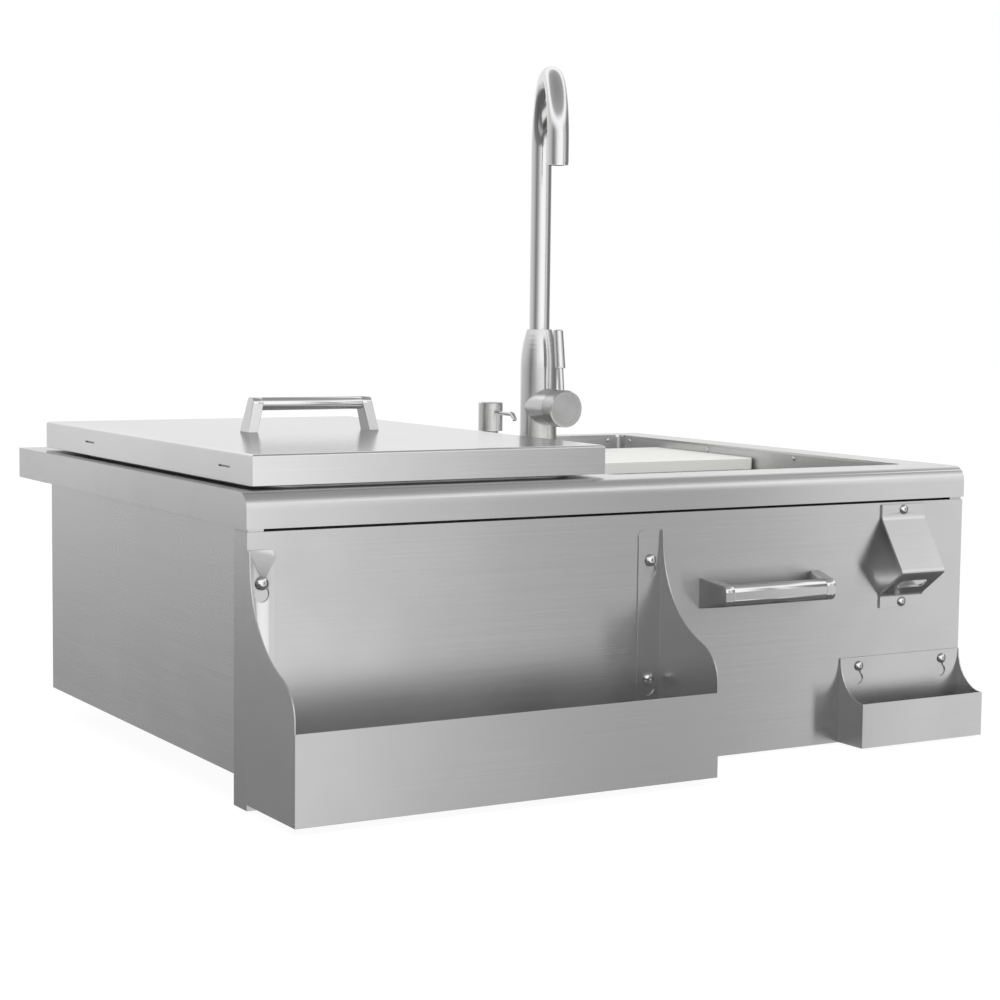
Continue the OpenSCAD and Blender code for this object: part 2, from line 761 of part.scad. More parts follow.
module lid_skin() {
  t = sheet_lid;
  color(steel) seat() translate([lid_x, lid_y, lid_gap]) difference() {
    bent_box(lid_w, lid_d, lid_h, lid_bend);
    translate([0, t, t]) bent_box(lid_w - 2*t, lid_d - 2*t, lid_h - 2*t, lid_bend - t);
    block(-lid_w/2 + lid_hem, lid_w/2 - lid_hem, lid_hem, lid_d - lid_hem, -over, 2*t);
    for (y = slit_y) block(-lid_w/2 - over, -lid_w/2 + 2*t, y - slit_l/2, y + slit_l/2, slit_z, slit_z + slit_h);
    for (s = [-1, 1]) translate([grip_x - lid_x + s*(handle_l - foot_t)/2, grip_y - lid_y, lid_h - 2*t])
      cylinder(r = handle_screw + fit, h = 3*t);
  }
}

module lid_foam() {
  t = sheet_lid;
  pocket = 9;
  color(foam_white) seat() translate([lid_x, lid_y, lid_gap]) difference() {
    block(lid_bend - lid_w/2, lid_w/2 - lid_bend, lid_bend, lid_d - lid_bend, 2*t, lid_h - t);
    for (s = [-1, 1]) translate([grip_x - lid_x + s*(handle_l - foot_t)/2, grip_y - lid_y, t])
      cylinder(r = pocket, h = lid_h);
  }
}

plug_gap = 6;

module lid_pan() {
  t = sheet_lid;
  w = ice_w - 2*plug_gap;
  d = ice_d - 2*plug_gap;
  r = ice_r - plug_gap;
  color(steel) seat() translate([0, 0, lid_gap + t]) {
    translate([lid_x, lid_y, 0]) difference() {
      block(-lid_w/2 + t + fit, lid_w/2 - t - fit, t + fit, lid_d - t - fit, 0, t);
      translate([ice_x - lid_x, ice_y - lid_y, -over]) linear_extrude(2*over + t) rrect(w - 2*t, d - 2*t, r - t);
    }
    translate([ice_x, ice_y, -lid_plug]) difference() {
      linear_extrude(lid_plug) rrect(w, d, r);
      translate([0, 0, t]) linear_extrude(lid_plug) rrect(w - 2*t, d - 2*t, r - t);
    }
  }
}

module lid_seal() {
  h = lid_gap + sheet_lid - rim_t;
  in = 0.5;
  color(rubber) seat() translate([ice_x, ice_y, rim_t]) difference() {
    linear_extrude(h) rrect(ice_w + 2*rim_w - 2*in, ice_d + 2*rim_w - 2*in, ice_r + rim_w);
    translate([0, 0, -over]) linear_extrude(h + 2*over) rrect(ice_w, ice_d, ice_r);
  }
}

// Handle parts stand on z = 0, along X. The oval tube lies at the top between two leaning ends.
elbow = 9.6;
handle_screw = 2;
thread_in = 7;

oval_share = 0.495;

module oval(w, t) rrect(w, t, t*oval_share);

module handle_tube(w, t) {
  l = handle_l - 2*handle_lean - 2*elbow;
  translate([0, 0, handle_h - t/2]) rotate([90, 0, 90]) translate([0, 0, -l/2]) linear_extrude(l) oval(w, t);
}

// The end on the -X side
module handle_end(w, t, foot) {
  slice = 0.5;
  translate([-handle_l/2, 0, 0]) difference() {
    union() {
      hull() {
        translate([foot_t/2, 0, slice/2]) cube([foot_t, foot, slice], center = true);
        translate([handle_lean, 0, handle_h - t/2]) rotate([90, 0, 90]) linear_extrude(foot_t) oval(w, t, $fn = 32);
      }
      translate([handle_lean, 0, handle_h - t/2]) rotate([90, 0, 90]) linear_extrude(elbow) oval(w, t, $fn = 32);
    }
    translate([foot_t/2, 0, -over]) cylinder(r = handle_screw + fit/2, h = thread_in + over + rest);
  }
}

module to_lid() seat() translate([grip_x, grip_y, lid_top]) children();

module to_panel() seat() translate([towel_x, panel_y, towel_z]) rotate([90, 0, 0]) children();

module lid_grip() color(bright) to_lid() handle_tube(grip_w, grip_t);

module lid_grip_left() color(steel) to_lid() handle_end(grip_w, grip_t, grip_foot);

module lid_grip_right() color(steel) to_lid() mirror([1, 0, 0]) handle_end(grip_w, grip_t, grip_foot);

module towel_bar() color(bright) to_panel() handle_tube(towel_w, towel_t);

module towel_end_left() color(steel) to_panel() handle_end(towel_w, towel_t, towel_foot);

module towel_end_right() color(steel) to_panel() mirror([1, 0, 0]) handle_end(towel_w, towel_t, towel_foot);

// Pan head screws from behind the sheet, one up into each handle end
module handle_screws(t) {
  head = 4;
  head_h = 3;
  for (s = [-1, 1]) translate([s*(handle_l - foot_t)/2, 0, 0]) {
    translate([0, 0, -t - head_h]) cylinder(r = head, h = head_h);
    translate([0, 0, -t]) cylinder(r = handle_screw, h = t + thread_in);
  }
}

module lid_grip_screws() color(bright) to_lid() handle_screws(sheet_lid);

module towel_screws() color(bright) to_panel() handle_screws(body_t);

module cutting_board() {
  w = sink_w - 2*sink_t - 2*board_gap;
  r = 4;
  color(board_white) seat() translate([sink_x, board_y + board_d/2, floor_z])
    linear_extrude(board_t) rrect(w, board_d, r);
}

// Tap
shank_r = 14;
base_r = 24;
base_h = 4;
tap_gasket_t = 1.5;
tap_base = floor_z + tap_gasket_t;
socket_h = 25;
thread_l = 46;
inlet_l = 18;
inlet_r = 10.2;
washer_t = 2;
tap_nut_h = 11;
housing_in = 0.2;
housing_r = tap_r - housing_in;
spindle_r = 6;
spindle_l = 10;
rod_r = 3.5;

module at_tap() seat() translate([tap_px, ledge_y, floor_z]) children();

// Turns a shape along +Z so that it points to the front at the valve's height
module to_valve() translate([0, 0, valve_z]) rotate([90, 0, 0]) children();

module tap_body() {
  top = tap_h + shoulder_h;
  rise = tap_r - shoulder_r;
  color(steel) at_tap() difference() {
    union() {
      translate([0, 0, tap_gasket_t]) cylinder(r = base_r, h = base_h);
      rotate_extrude() polygon(concat(
        [[0, tap_gasket_t], [tap_r, tap_gasket_t], [tap_r, tap_h]],
        [for (i = [1 : bend_steps]) let (s = i/bend_steps) [tap_r - rise*s*s, tap_h + shoulder_h*s]],
        [[0, top]]
      ));
      to_valve() cylinder(r = housing_r, h = valve_l - cap_l - rest);
    }
    translate([0, 0, top - socket_h]) cylinder(r = spout_r + run, h = socket_h + over);
    to_valve() translate([0, 0, valve_l - cap_l - rest - spindle_l])
      cylinder(r = spindle_r + fit/2, h = spindle_l + over);
  }
}

module tap_gasket() color(rubber) at_tap() tube(base_r, shank_r + fit, tap_gasket_t);

module tap_shank() {
  color(bright) at_tap() {
    translate([0, 0, -thread_l]) cylinder(r = shank_r, h = thread_l + tap_gasket_t);
    translate([0, 0, -thread_l - inlet_l]) cylinder(r = inlet_r, h = inlet_l);
  }
}

module tap_washer() {
  color(rubber) at_tap() translate([0, 0, -sink_t - washer_t]) tube(base_r, shank_r + fit, washer_t);
}

module tap_nut() {
  color(bright) at_tap() translate([0, 0, -sink_t - washer_t - tap_nut_h]) difference() {
    cylinder(r = base_r - washer_t/2, h = tap_nut_h, $fn = 6);
    translate([0, 0, -over]) cylinder(r = shank_r + fit, h = tap_nut_h + 2*over, $fn = 64);
  }
}

module valve_spindle() {
  color(bright) at_tap() to_valve() translate([0, 0, valve_l - cap_l - rest - spindle_l])
    cylinder(r = spindle_r, h = 2*spindle_l);
}

module valve_cap() {
  edge = 1.2;
  color(steel) at_tap() difference() {
    to_valve() translate([0, 0, valve_l - cap_l]) {
      cylinder(r = housing_r, h = cap_l - edge);
      translate([0, 0, cap_l - edge]) cylinder(r1 = housing_r, r2 = housing_r - edge, h = edge);
    }
    to_valve() translate([0, 0, valve_l - cap_l - over]) cylinder(r = spindle_r + run, h = spindle_l + over + rest);
    to_lever() translate([0, 0, housing_r - rod_seat]) cylinder(r = rod_r + fit/2, h = 2*rod_seat);
  }
}

rod_seat = 6;
grip_l = 43;

// Stands a shape on the middle of the cap, leaning back
module to_lever() translate([0, cap_l/2 - valve_l, valve_z]) rotate([-lever_lean, 0, 0]) children();

module lever_rod() {
  z = housing_r - rod_seat;
  color(bright) at_tap() to_lever() translate([0, 0, z]) cylinder(r = rod_r, h = lever_l - grip_l - z + rod_seat);
}

module lever_grip() {
  r_low = 6;
  r_top = 5.5;
  tip = 1;
  color(bright) at_tap() to_lever() translate([0, 0, lever_l - grip_l]) difference() {
    rotate_extrude() polygon([
      [0, 0], [r_low - tip/2, 0], [r_low, tip], [r_top, grip_l - tip], [r_top - tip, grip_l], [0, grip_l]
    ]);
    translate([0, 0, -over]) cylinder(r = rod_r + fit/2, h = rod_seat + over);
  }
}

// Gooseneck along -Y: riser, half ring and drop, of tube radius r
module gooseneck(r, grow) {
  half = spout_reach/2;
  bottom = tap_h + shoulder_h - socket_h + rest;
  arch_z = spout_top - spout_r - half;
  translate([0, 0, bottom - grow]) cylinder(r = r, h = arch_z - bottom + grow);
  translate([0, -half, arch_z]) rotate([90, 0, 90]) rotate_extrude(angle = 180) translate([half, 0]) circle(r);
  translate([0, -spout_reach, arch_z - spout_drop - grow]) cylinder(r = r, h = spout_drop + grow);
}

module spout() {
  color(steel) at_tap() rotate([0, 0, -spout_turn]) difference() {
    gooseneck(spout_r, 0);
    gooseneck(spout_r - spout_t, over);
  }
}

module aerator() {
  z = spout_top - spout_r - spout_reach/2 - spout_drop;
  lip = 2.4;
  lip_in = 0.4;
  deep = 12;
  color(bright) at_tap() rotate([0, 0, -spout_turn]) translate([0, -spout_reach, z]) difference() {
    union() {
      translate([0, 0, -lip]) cylinder(r = spout_r - lip_in, h = lip);
      cylinder(r = spout_r - spout_t - fit/2, h = deep);
    }
    translate([0, 0, -lip - over]) cylinder(r = spout_r - 3*spout_t, h = lip + over);
  }
}

// Soap pump
collar_r = 18;
collar_h = 4;
collar_shank = 12;
neck_r = 10;
neck_h = 31;
bore_r = 5.6;
stem_r = 3;
shank_low = 48;
flange_r = 9;
flange_t = 2;
head_wall = 1.5;
head_top_t = 5;
nozzle_r = 2.6;
tip_r = 2.35;
tip_in = 1;
nozzle_z = 54.5;
tip_drop = 3.7;
soap_nut_h = 9;

module at_soap() seat() translate([soap_px, ledge_y, floor_z]) children();

module soap_collar() {
  color(steel) at_soap() difference() {
    union() {
      cylinder(r = collar_r, h = collar_h);
      cylinder(r = neck_r, h = neck_h);
      translate([0, 0, -shank_low]) cylinder(r = collar_shank, h = shank_low + collar_h/2);
    }
    translate([0, 0, -shank_low - over]) cylinder(r = bore_r, h = shank_low + neck_h + 2*over);
  }
}

module soap_bushing() {
  plug = 14;
  color(board_white) at_soap() difference() {
    union() {
      translate([0, 0, neck_h + rest]) cylinder(r = flange_r, h = flange_t);
      translate([0, 0, neck_h + rest - plug]) cylinder(r = bore_r - run, h = plug + flange_t/2);
    }
    translate([0, 0, neck_h - plug]) cylinder(r = stem_r + run, h = plug + flange_t + over);
  }
}

module pump_head() {
  low = head_top - head_h;
  skirt = head_h - head_top_t;
  edge = 1;
  color(steel) at_soap() difference() {
    union() {
      translate([0, 0, low]) cylinder(r = head_r, h = head_h - edge);
      translate([0, 0, head_top - edge]) cylinder(r1 = head_r, r2 = head_r - edge, h = edge);
    }
    translate([0, 0, low - over]) cylinder(r = head_r - head_wall, h = skirt + over);
    translate([0, 0, low]) cylinder(r = stem_r + fit/2, h = head_h - head_top_t/2);
    translate([0, 0, nozzle_z]) rotate([90, 0, 0]) cylinder(r = nozzle_r + fit/2, h = 2*head_r);
  }
}

module pump_nozzle() {
  bend_r = 10;
  fall = 50;
  straight = nozzle_l - bend_r*sin(fall) - tip_drop*cos(fall);
  start = head_r - head_wall;
  color(bright) at_soap() translate([0, 0, nozzle_z]) {
    translate([0, -start, 0]) rotate([90, 0, 0]) cylinder(r = nozzle_r, h = straight - start);
    translate([0, -straight, -bend_r]) rotate([90, 0, 90]) rotate([0, 0, 90]) {
      rotate_extrude(angle = fall) translate([bend_r, 0]) circle(nozzle_r);
      rotate([0, 0, fall]) translate([bend_r, -tip_in, 0]) rotate([-90, 0, 0])
        cylinder(r = tip_r, h = tip_drop + tip_in);
    }
  }
}

module pump_stem() {
  top = head_top - head_top_t/2;
  low = -18;
  color(bright) at_soap() translate([0, 0, low]) cylinder(r = stem_r, h = top - low);
}

module pump_spring() {
  low = neck_h + rest + flange_t;
  top = head_top - head_top_t;
  coil_out = 6.5;
  coil_in = 5;
  color(bright) at_soap() translate([0, 0, low]) tube(coil_out, coil_in, top - low);
}

module soap_nut() {
  out = collar_r + collar_h;
  color(rubber) at_soap() translate([0, 0, -sink_t - soap_nut_h]) tube(out, collar_shank + fit, soap_nut_h);
}

// Bottle: shell of revolution with a threaded neck round the shank
module soap_bottle() {
  wall = 1.6;
  neck_top = -sink_t - soap_nut_h - rest;
  neck_l = 18;
  shoulder = 12;
  out = collar_shank + fit + wall;
  low = neck_top - bottle_h;
  color(soap_clear) at_soap() rotate_extrude() polygon([
    [collar_shank + fit, neck_top], [out, neck_top], [out, neck_top - neck_l],
    [bottle_r, neck_top - neck_l - shoulder],
    [bottle_r, low], [0, low], [0, low + wall], [bottle_r - wall, low + wall],
    [bottle_r - wall, neck_top - neck_l - shoulder], [collar_shank + fit, neck_top - neck_l]
  ]);
}

module dip_tube() {
  plug = 10;
  r = 3.2;
  wall = 1;
  foot_gap = 8;
  low = -sink_t - soap_nut_h - bottle_h + foot_gap;
  color(soap_clear) at_soap() difference() {
    union() {
      translate([0, 0, -shank_low]) cylinder(r = bore_r - fit/4, h = plug);
      translate([0, 0, low]) cylinder(r = r, h = -shank_low - low);
    }
    translate([0, 0, low - over]) cylinder(r = r - wall, h = -low);
  }
}

// Hung fittings. Profiles are drawn as (y, z) from the panel's face, y negative to the front.
rail_ends = rail_w/2;
rail_screw_in = rail_tab/2;
rail_screw_x = [rail_x - rail_ends + rail_screw_in, rail_x + rail_ends - rail_screw_in];
catch_screw_x = [catch_x - catch_w/2 + catch_screw_in, catch_x + catch_w/2 - catch_screw_in];
hole_gap = 0.9;
slot_gap = 0.4;
tab_round = 6;

// End plate outline with a hollow curve that turns into a round front corner
rail_turn = 72;
rail_lead = 4;
rail_dip = 0.7;
rail_top_share = 0.963;

function rail_outline() =
  let (
    c = [-rail_lead - rail_curve - rail_dip, rail_h*rail_top_share],
    out = unit([cos(rail_turn), -sin(rail_turn)]),
    turn_r = (rail_d - hung_t + c[0] + rail_curve*out[0])/(1 - out[0]),
    d = c + (rail_curve + turn_r)*out
  )
  concat(
    [[0, 0], [0, rail_h], [-rail_lead, rail_h]],
    arc(c, rail_curve, 0, -rail_turn, 2*bend_steps),
    arc(d, turn_r, 180 - rail_turn, 180, bend_steps),
    [[hung_t - rail_d, 0]]
  );

module bottle_rail() {
  x = rail_w/2;
  hole = rail_head + hole_gap;
  slot = screw_r + slot_gap;
  color(steel) seat() translate([rail_x, panel_y, rail_z]) difference() {
    union() {
      for (s = [-1, 1]) translate([s*(x - hung_t/2), 0, 0]) along_x(hung_t) polygon(rail_outline());
      for (s = [0, 1]) mirror([s, 0, 0]) difference() {
        block(-x, rail_tab - x, -hung_t, 0, 0, rail_h);
        translate([rail_tab - x - tab_round, -2*hung_t, rail_h - tab_round]) difference() {
          cube([2*tab_round, 4*hung_t, 2*tab_round]);
          rotate([-90, 0, 0]) cylinder(r = tab_round, h = 4*hung_t);
        }
      }
      block(-x, x, -rail_d, hung_t - rail_d, 0, rail_front);
      block(-x, x, -rail_d, 0, 0, hung_t);
      block(-x, x, -hung_t, 0, 0, rail_back_h);
    }
    for (px = rail_screw_x, pz = [-rail_screw_hi, -rail_screw_lo])
      translate([px - rail_x, 0, pz - rail_z - rail_lift]) keyhole(hole, slot, rail_lift, 2*hung_t);
  }
}

rail_back_h = 20;

module rail_screws() {
  color(bright) seat() for (x = rail_screw_x, z = [-rail_screw_hi, -rail_screw_lo])
    translate([x, panel_y - hung_t - shoulder_gap, z])
      dome_screw(rail_head, screw_r, hung_t + shoulder_gap + body_t, true);
}

module cap_catcher() {
  x = catch_w/2;
  hole = small_head + hole_gap;
  slot = screw_r + slot_gap;
  lead = 1.5;
  curve = catch_d - lead - hung_t;
  drop = catch_h - catch_front;
  color(steel) seat() translate([catch_x, panel_y, catch_z]) difference() {
    union() {
      for (s = [-1, 1]) translate([s*(x - hung_t/2), 0, 0]) along_x(hung_t) polygon(concat(
        [[0, 0], [0, catch_h], [-lead, catch_h]],
        [for (i = [0 : bend_steps]) let (a = 90*i/bend_steps)
          [-lead - curve*(1 - cos(a)), catch_h - drop*sin(a)]],
        [[hung_t - catch_d, 0]]
      ));
      block(-x, x, -hung_t, 0, 0, catch_h);
      block(-x, x, -catch_d, hung_t - catch_d, 0, catch_front);
      block(-x, x, -catch_d, 0, 0, hung_t);
    }
    for (px = catch_screw_x)
      translate([px - catch_x, 0, catch_h - catch_screw_drop - catch_lift]) keyhole(hole, slot, catch_lift, 2*hung_t);
  }
}

module catcher_screws() {
  color(bright) seat() for (x = catch_screw_x)
    translate([x, panel_y - hung_t - shoulder_gap, catch_top - catch_screw_drop])
      dome_screw(small_head, screw_r, hung_t + shoulder_gap + body_t, true);
}

// Bottle opener: one bent strip with an oval mouth in its lower plate
opener_bend = 3;
mouth_w = 36;
mouth_d = 13;
opener_low = opener_z + 2*opener_tab + opener_slope + opener_under;
tab_share = 0.4;
opener_screw_z = [-opener_z - opener_tab*tab_share, -opener_low + opener_tab*tab_share];

module bottle_opener() {
  back = -opener_t/2;
  nose = [-opener_out, -opener_tab - opener_slope];
  heel = [back, -opener_tab - opener_slope - opener_under];
  mid = (nose + heel)/2;
  tilt = atan2(heel[1] - nose[1], heel[0] - nose[0]);
  path = [[back, 0], [back, -opener_tab], nose, heel, heel - [0, opener_tab]];
  color(steel) seat() translate([opener_x, panel_y, -opener_z]) difference() {
    along_x(opener_w) polygon(sheet(bent(path, opener_bend), opener_t));
    translate([0, mid[0], mid[1]]) rotate([tilt, 0, 0]) translate([0, 0, -2*opener_t]) linear_extrude(4*opener_t)
      rrect(mouth_w, mouth_d, mouth_d*oval_share);
    for (z = opener_screw_z) translate([0, over, z + opener_z]) rotate([90, 0, 0])
      cylinder(r = screw_r + fit, h = opener_t + 2*over);
  }
}

module opener_screws() {
  color(bright) seat() for (z = opener_screw_z) translate([opener_x, panel_y - opener_t, z])
    dome_screw(small_head, screw_r, opener_t + body_t, true);
}

top_deck();
side_left();
side_right();
back_panel();
floor_panel();
front_panel();
sink();
recess_screws();
strainer();
strainer_gasket();
strainer_nut();
tailpiece();
strainer_basket();
ice_liner();
ice_foam();
ice_drain();
ice_drain_nut();
lid_skin();
lid_foam();
lid_pan();
lid_seal();
lid_grip();
lid_grip_left();
lid_grip_right();
lid_grip_screws();
cutting_board();
tap_body();
tap_gasket();
tap_shank();
tap_washer();
tap_nut();
valve_spindle();
valve_cap();
lever_rod();
lever_grip();
spout();
aerator();
soap_collar();
soap_nut();
soap_bottle();
dip_tube();
soap_bushing();
pump_head();
pump_nozzle();
pump_stem();
pump_spring();
bottle_rail();
rail_screws();
towel_bar();
towel_end_left();
towel_end_right();
towel_screws();
bottle_opener();
opener_screws();
cap_catcher();
catcher_screws();
back_screws();
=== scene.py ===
import math

import bmesh
import bpy
from mathutils import Matrix, Vector


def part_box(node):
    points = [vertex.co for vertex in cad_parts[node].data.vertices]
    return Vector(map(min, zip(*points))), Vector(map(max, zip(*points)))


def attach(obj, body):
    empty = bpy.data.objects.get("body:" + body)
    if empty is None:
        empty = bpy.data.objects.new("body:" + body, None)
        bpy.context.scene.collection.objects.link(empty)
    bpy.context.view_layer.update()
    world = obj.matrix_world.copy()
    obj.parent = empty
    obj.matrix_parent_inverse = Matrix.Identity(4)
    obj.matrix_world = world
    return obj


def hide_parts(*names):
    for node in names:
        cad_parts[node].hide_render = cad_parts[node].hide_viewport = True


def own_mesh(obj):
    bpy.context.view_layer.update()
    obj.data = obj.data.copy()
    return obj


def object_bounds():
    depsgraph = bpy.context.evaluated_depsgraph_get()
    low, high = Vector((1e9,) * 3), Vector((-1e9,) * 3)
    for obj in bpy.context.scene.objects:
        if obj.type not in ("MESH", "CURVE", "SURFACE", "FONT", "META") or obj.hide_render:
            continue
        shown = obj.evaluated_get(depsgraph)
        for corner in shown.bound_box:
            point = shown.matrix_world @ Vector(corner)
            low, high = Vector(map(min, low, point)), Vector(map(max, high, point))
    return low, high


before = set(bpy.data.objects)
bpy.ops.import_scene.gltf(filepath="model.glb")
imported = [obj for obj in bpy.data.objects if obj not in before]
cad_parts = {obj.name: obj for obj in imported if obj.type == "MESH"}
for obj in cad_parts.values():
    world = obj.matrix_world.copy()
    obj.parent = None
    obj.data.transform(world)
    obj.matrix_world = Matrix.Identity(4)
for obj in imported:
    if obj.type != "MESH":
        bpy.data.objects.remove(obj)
cad_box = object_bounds()
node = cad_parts

# The camera stands to the left of the unit and a little above its deck, as a photographer with a long
# lens would, so that the front panel and the left side both show.
camera_yaw = math.radians(30.41)
camera_pitch = math.radians(5.18)
camera_roll = math.radians(-0.66)
ahead = Vector((math.sin(camera_yaw) * math.cos(camera_pitch),
                math.cos(camera_yaw) * math.cos(camera_pitch),
                -math.sin(camera_pitch)))
level = Vector((math.cos(camera_yaw), -math.sin(camera_yaw), 0))
down = ahead.cross(level)
image_right = math.cos(camera_roll) * level + math.sin(camera_roll) * down
image_down = -math.sin(camera_roll) * level + math.cos(camera_roll) * down
camera = bpy.data.objects.new("camera", bpy.data.cameras.new("camera"))
camera_place = (-1.0864, -2.1743, 0.1844)
camera.data.sensor_width = 36
camera.data.lens = 78.44
camera_turn = Matrix((image_right, -image_down, -ahead)).transposed()
camera.matrix_world = Matrix.Translation(camera_place) @ camera_turn.to_4x4()
bpy.context.scene.collection.objects.link(camera)
bpy.context.scene.camera = camera
bpy.context.scene.view_settings.view_transform = "Standard"

# The studio is a white sweep: a pale floor under the unit and a white surround. What steel mirrors is that
# same surround with dark flags at both sides and overhead, which draw the bands on polished metal.
floor_gap = 0.002
floor_reach = 9
floor_z = cad_box[0][2] - floor_gap
floor = bpy.data.objects.new("floor", bpy.data.meshes.new("floor"))
floor.data.from_pydata([(x * floor_reach, y * floor_reach, floor_z) for x,
                        y in ((-1, -1), (1, -1), (1, 1), (-1, 1))], [], [(0, 1, 2, 3)])
bpy.context.scene.collection.objects.link(floor)


def nodes_of(tree, made):
    """Adds named nodes to a tree, each as name: (type, properties, inputs). An input is a value, a
    (node, output) pair or a list of these."""
    out = {}
    for name, (kind, props, _) in made.items():
        out[name] = tree.nodes.new(kind)
        out[name].name = name
        for key, value in props.items():
            setattr(out[name], key, value)
    for name, (_, _, inputs) in made.items():
        for key, value in inputs.items():
            for source in value if isinstance(value, list) else [value]:
                if isinstance(source, tuple) and isinstance(source[0], str):
                    tree.links.new(out[source[0]].outputs[source[1]], out[name].inputs[key])
                else:
                    out[name].inputs[key].default_value = source
    return out


def material(name, made):
    """A new node material from such a table."""
    mat = bpy.data.materials.new(name)
    mat.use_nodes = True
    mat.node_tree.nodes.clear()
    nodes_of(mat.node_tree, made)
    return mat


def ramp_of(ramp, stops):
    """Sets a colour ramp's stops as (position, level)."""
    while len(ramp.elements) > 1:
        ramp.elements.remove(ramp.elements[-1])
    ramp.elements[0].position = stops[0][0]
    for position, _ in stops[1:]:
        ramp.elements.new(position)
    for element, (_, light) in zip(ramp.elements, stops):
        element.color = (light, light, light, 1)


floor.data.materials.append(material("pale_floor", {
    "path": ("ShaderNodeLightPath", {}, {}),
    "sweep": ("ShaderNodeBsdfDiffuse", {}, {"Color": (0.7, 0.7, 0.7, 1)}),
    "shade": ("ShaderNodeBsdfDiffuse", {}, {"Color": (0.1, 0.1, 0.1, 1)}),
    "glow": ("ShaderNodeEmission", {}, {"Color": (1, 1, 1, 1), "Strength": 0.95}),
    "seen": ("ShaderNodeAddShader", {}, {0: ("shade", 0), 1: ("glow", 0)}),
    "clear": ("ShaderNodeMath", {"operation": "MAXIMUM"},
              {0: ("path", "Is Camera Ray"), 1: ("path", "Is Transmission Ray")}),
    "pick": ("ShaderNodeMixShader", {}, {0: ("clear", 0), 1: ("sweep", 0), 2: ("seen", 0)}),
    "through": ("ShaderNodeBsdfTransparent", {}, {}),
    "all": ("ShaderNodeMixShader", {}, {0: ("path", "Is Glossy Ray"), 1: ("pick", 0), 2: ("through", 0)}),
    "out": ("ShaderNodeOutputMaterial", {}, {"Surface": ("all", 0)}),
}))

# In the world a ray that met metal once has depth 2. Deeper rays see a dimmer surround, so that nooks
# where steel mirrors steel stay darker than open faces.
world = bpy.data.worlds.new("studio")
world.use_nodes = True
world.node_tree.nodes.clear()
studio = nodes_of(world.node_tree, {
    "path": ("ShaderNodeLightPath", {}, {}),
    "way": ("ShaderNodeTexCoord", {}, {}),
    "parts": ("ShaderNodeSeparateXYZ", {}, {0: ("way", "Generated")}),
    "front": ("ShaderNodeMath", {"operation": "MULTIPLY"}, {0: ("parts", "Y"), 1: -1.0}),
    "bearing": ("ShaderNodeMath", {"operation": "ARCTAN2"}, {0: ("parts", "X"), 1: ("front", 0)}),
    "turn": ("ShaderNodeMapRange", {},
             {"Value": ("bearing", 0), "From Min": -math.pi, "From Max": math.pi}),
    "ring": ("ShaderNodeValToRGB", {}, {"Fac": ("turn", 0)}),
    "over": ("ShaderNodeValToRGB", {}, {"Fac": ("parts", "Z")}),
    "high": ("ShaderNodeMapRange", {"interpolation_type": "SMOOTHSTEP"},
             {"Value": ("parts", "Z"), "From Min": 0.3, "From Max": 0.5}),
    "low_ring": ("ShaderNodeValToRGB", {}, {"Fac": ("turn", 0)}),
    "low": ("ShaderNodeMapRange", {}, {"Value": ("parts", "Z"), "From Min": -0.07, "From Max": -0.15}),
    "deep": ("ShaderNodeMapRange", {"interpolation_type": "SMOOTHSTEP"},
             {"Value": ("parts", "Z"), "From Min": -0.27, "From Max": -0.5}),
    "rings": ("ShaderNodeMix", {"data_type": "RGBA"},
              {"Factor": ("low", 0), 6: ("ring", 0), 7: ("low_ring", 0)}),
    "sides": ("ShaderNodeMix", {"data_type": "RGBA"},
              {"Factor": ("deep", 0), 6: ("rings", 2), 7: (0.12, 0.12, 0.12, 1)}),
    "surround": ("ShaderNodeMix", {"data_type": "RGBA"},
                 {"Factor": ("high", 0), 6: ("sides", 2), 7: ("over", 0)}),
    "nooks": ("ShaderNodeMapRange", {},
              {"Value": ("path", "Ray Depth"), "From Min": 2.0, "From Max": 3.0, "To Min": 1.0,
               "To Max": 0.5}),
    "mirrored": ("ShaderNodeBackground", {}, {"Color": ("surround", 2), "Strength": ("nooks", 0)}),
    "even": ("ShaderNodeBackground", {}, {"Color": (0.8, 0.8, 0.8, 1), "Strength": 1.0}),
    "white": ("ShaderNodeBackground", {}, {"Color": (1, 1, 1, 1), "Strength": 1.0}),
    "metal": ("ShaderNodeMixShader", {},
              {0: ("path", "Is Glossy Ray"), 1: ("even", 0), 2: ("mirrored", 0)}),
    "clear": ("ShaderNodeMath", {"operation": "MAXIMUM"},
              {0: ("path", "Is Camera Ray"), 1: ("path", "Is Transmission Ray")}),
    "pick": ("ShaderNodeMixShader", {}, {0: ("clear", 0), 1: ("metal", 0), 2: ("white", 0)}),
    "out": ("ShaderNodeOutputWorld", {}, {"Surface": ("pick", 0)}),
})
# Bearings in degrees from the front, positive to the right, and how bright the surround is there: first
# round the horizon, then below it
bearings = ((-180, 0.85), (-163, 0.68), (-149, 0.66), (-126, 0.6), (-108, 0.48), (-99, 0.38),
            (-91, 0.26), (-84, 0.2), (-76, 0.23), (-62, 0.42), (-48, 0.62), (-41, 0.88), (-28, 0.97),
            (-21, 1.1), (10, 1.08), (21, 1.02), (27, 0.7), (31, 0.5), (36.5, 0.34), (39.5, 0.74),
            (44, 0.88), (50, 0.6), (60, 0.25), (82, 0.18), (101, 0.22), (120, 0.5), (136, 0.86),
            (180, 0.85))
low_bearings = ((-180, 0.6), (-165, 0.2), (-112, 0.2), (-52, 0.16), (-15, 0.12), (-5, 0.95), (14, 1.04),
                (21, 1.02), (27, 0.68), (31, 0.47), (36.5, 0.31), (39.5, 0.64), (44, 0.78), (50, 0.5),
                (60, 0.2), (116, 0.12), (136, 0.7), (180, 0.6))
ramp_of(studio["ring"].color_ramp, [((bearing + 180) / 360, light) for bearing, light in bearings])
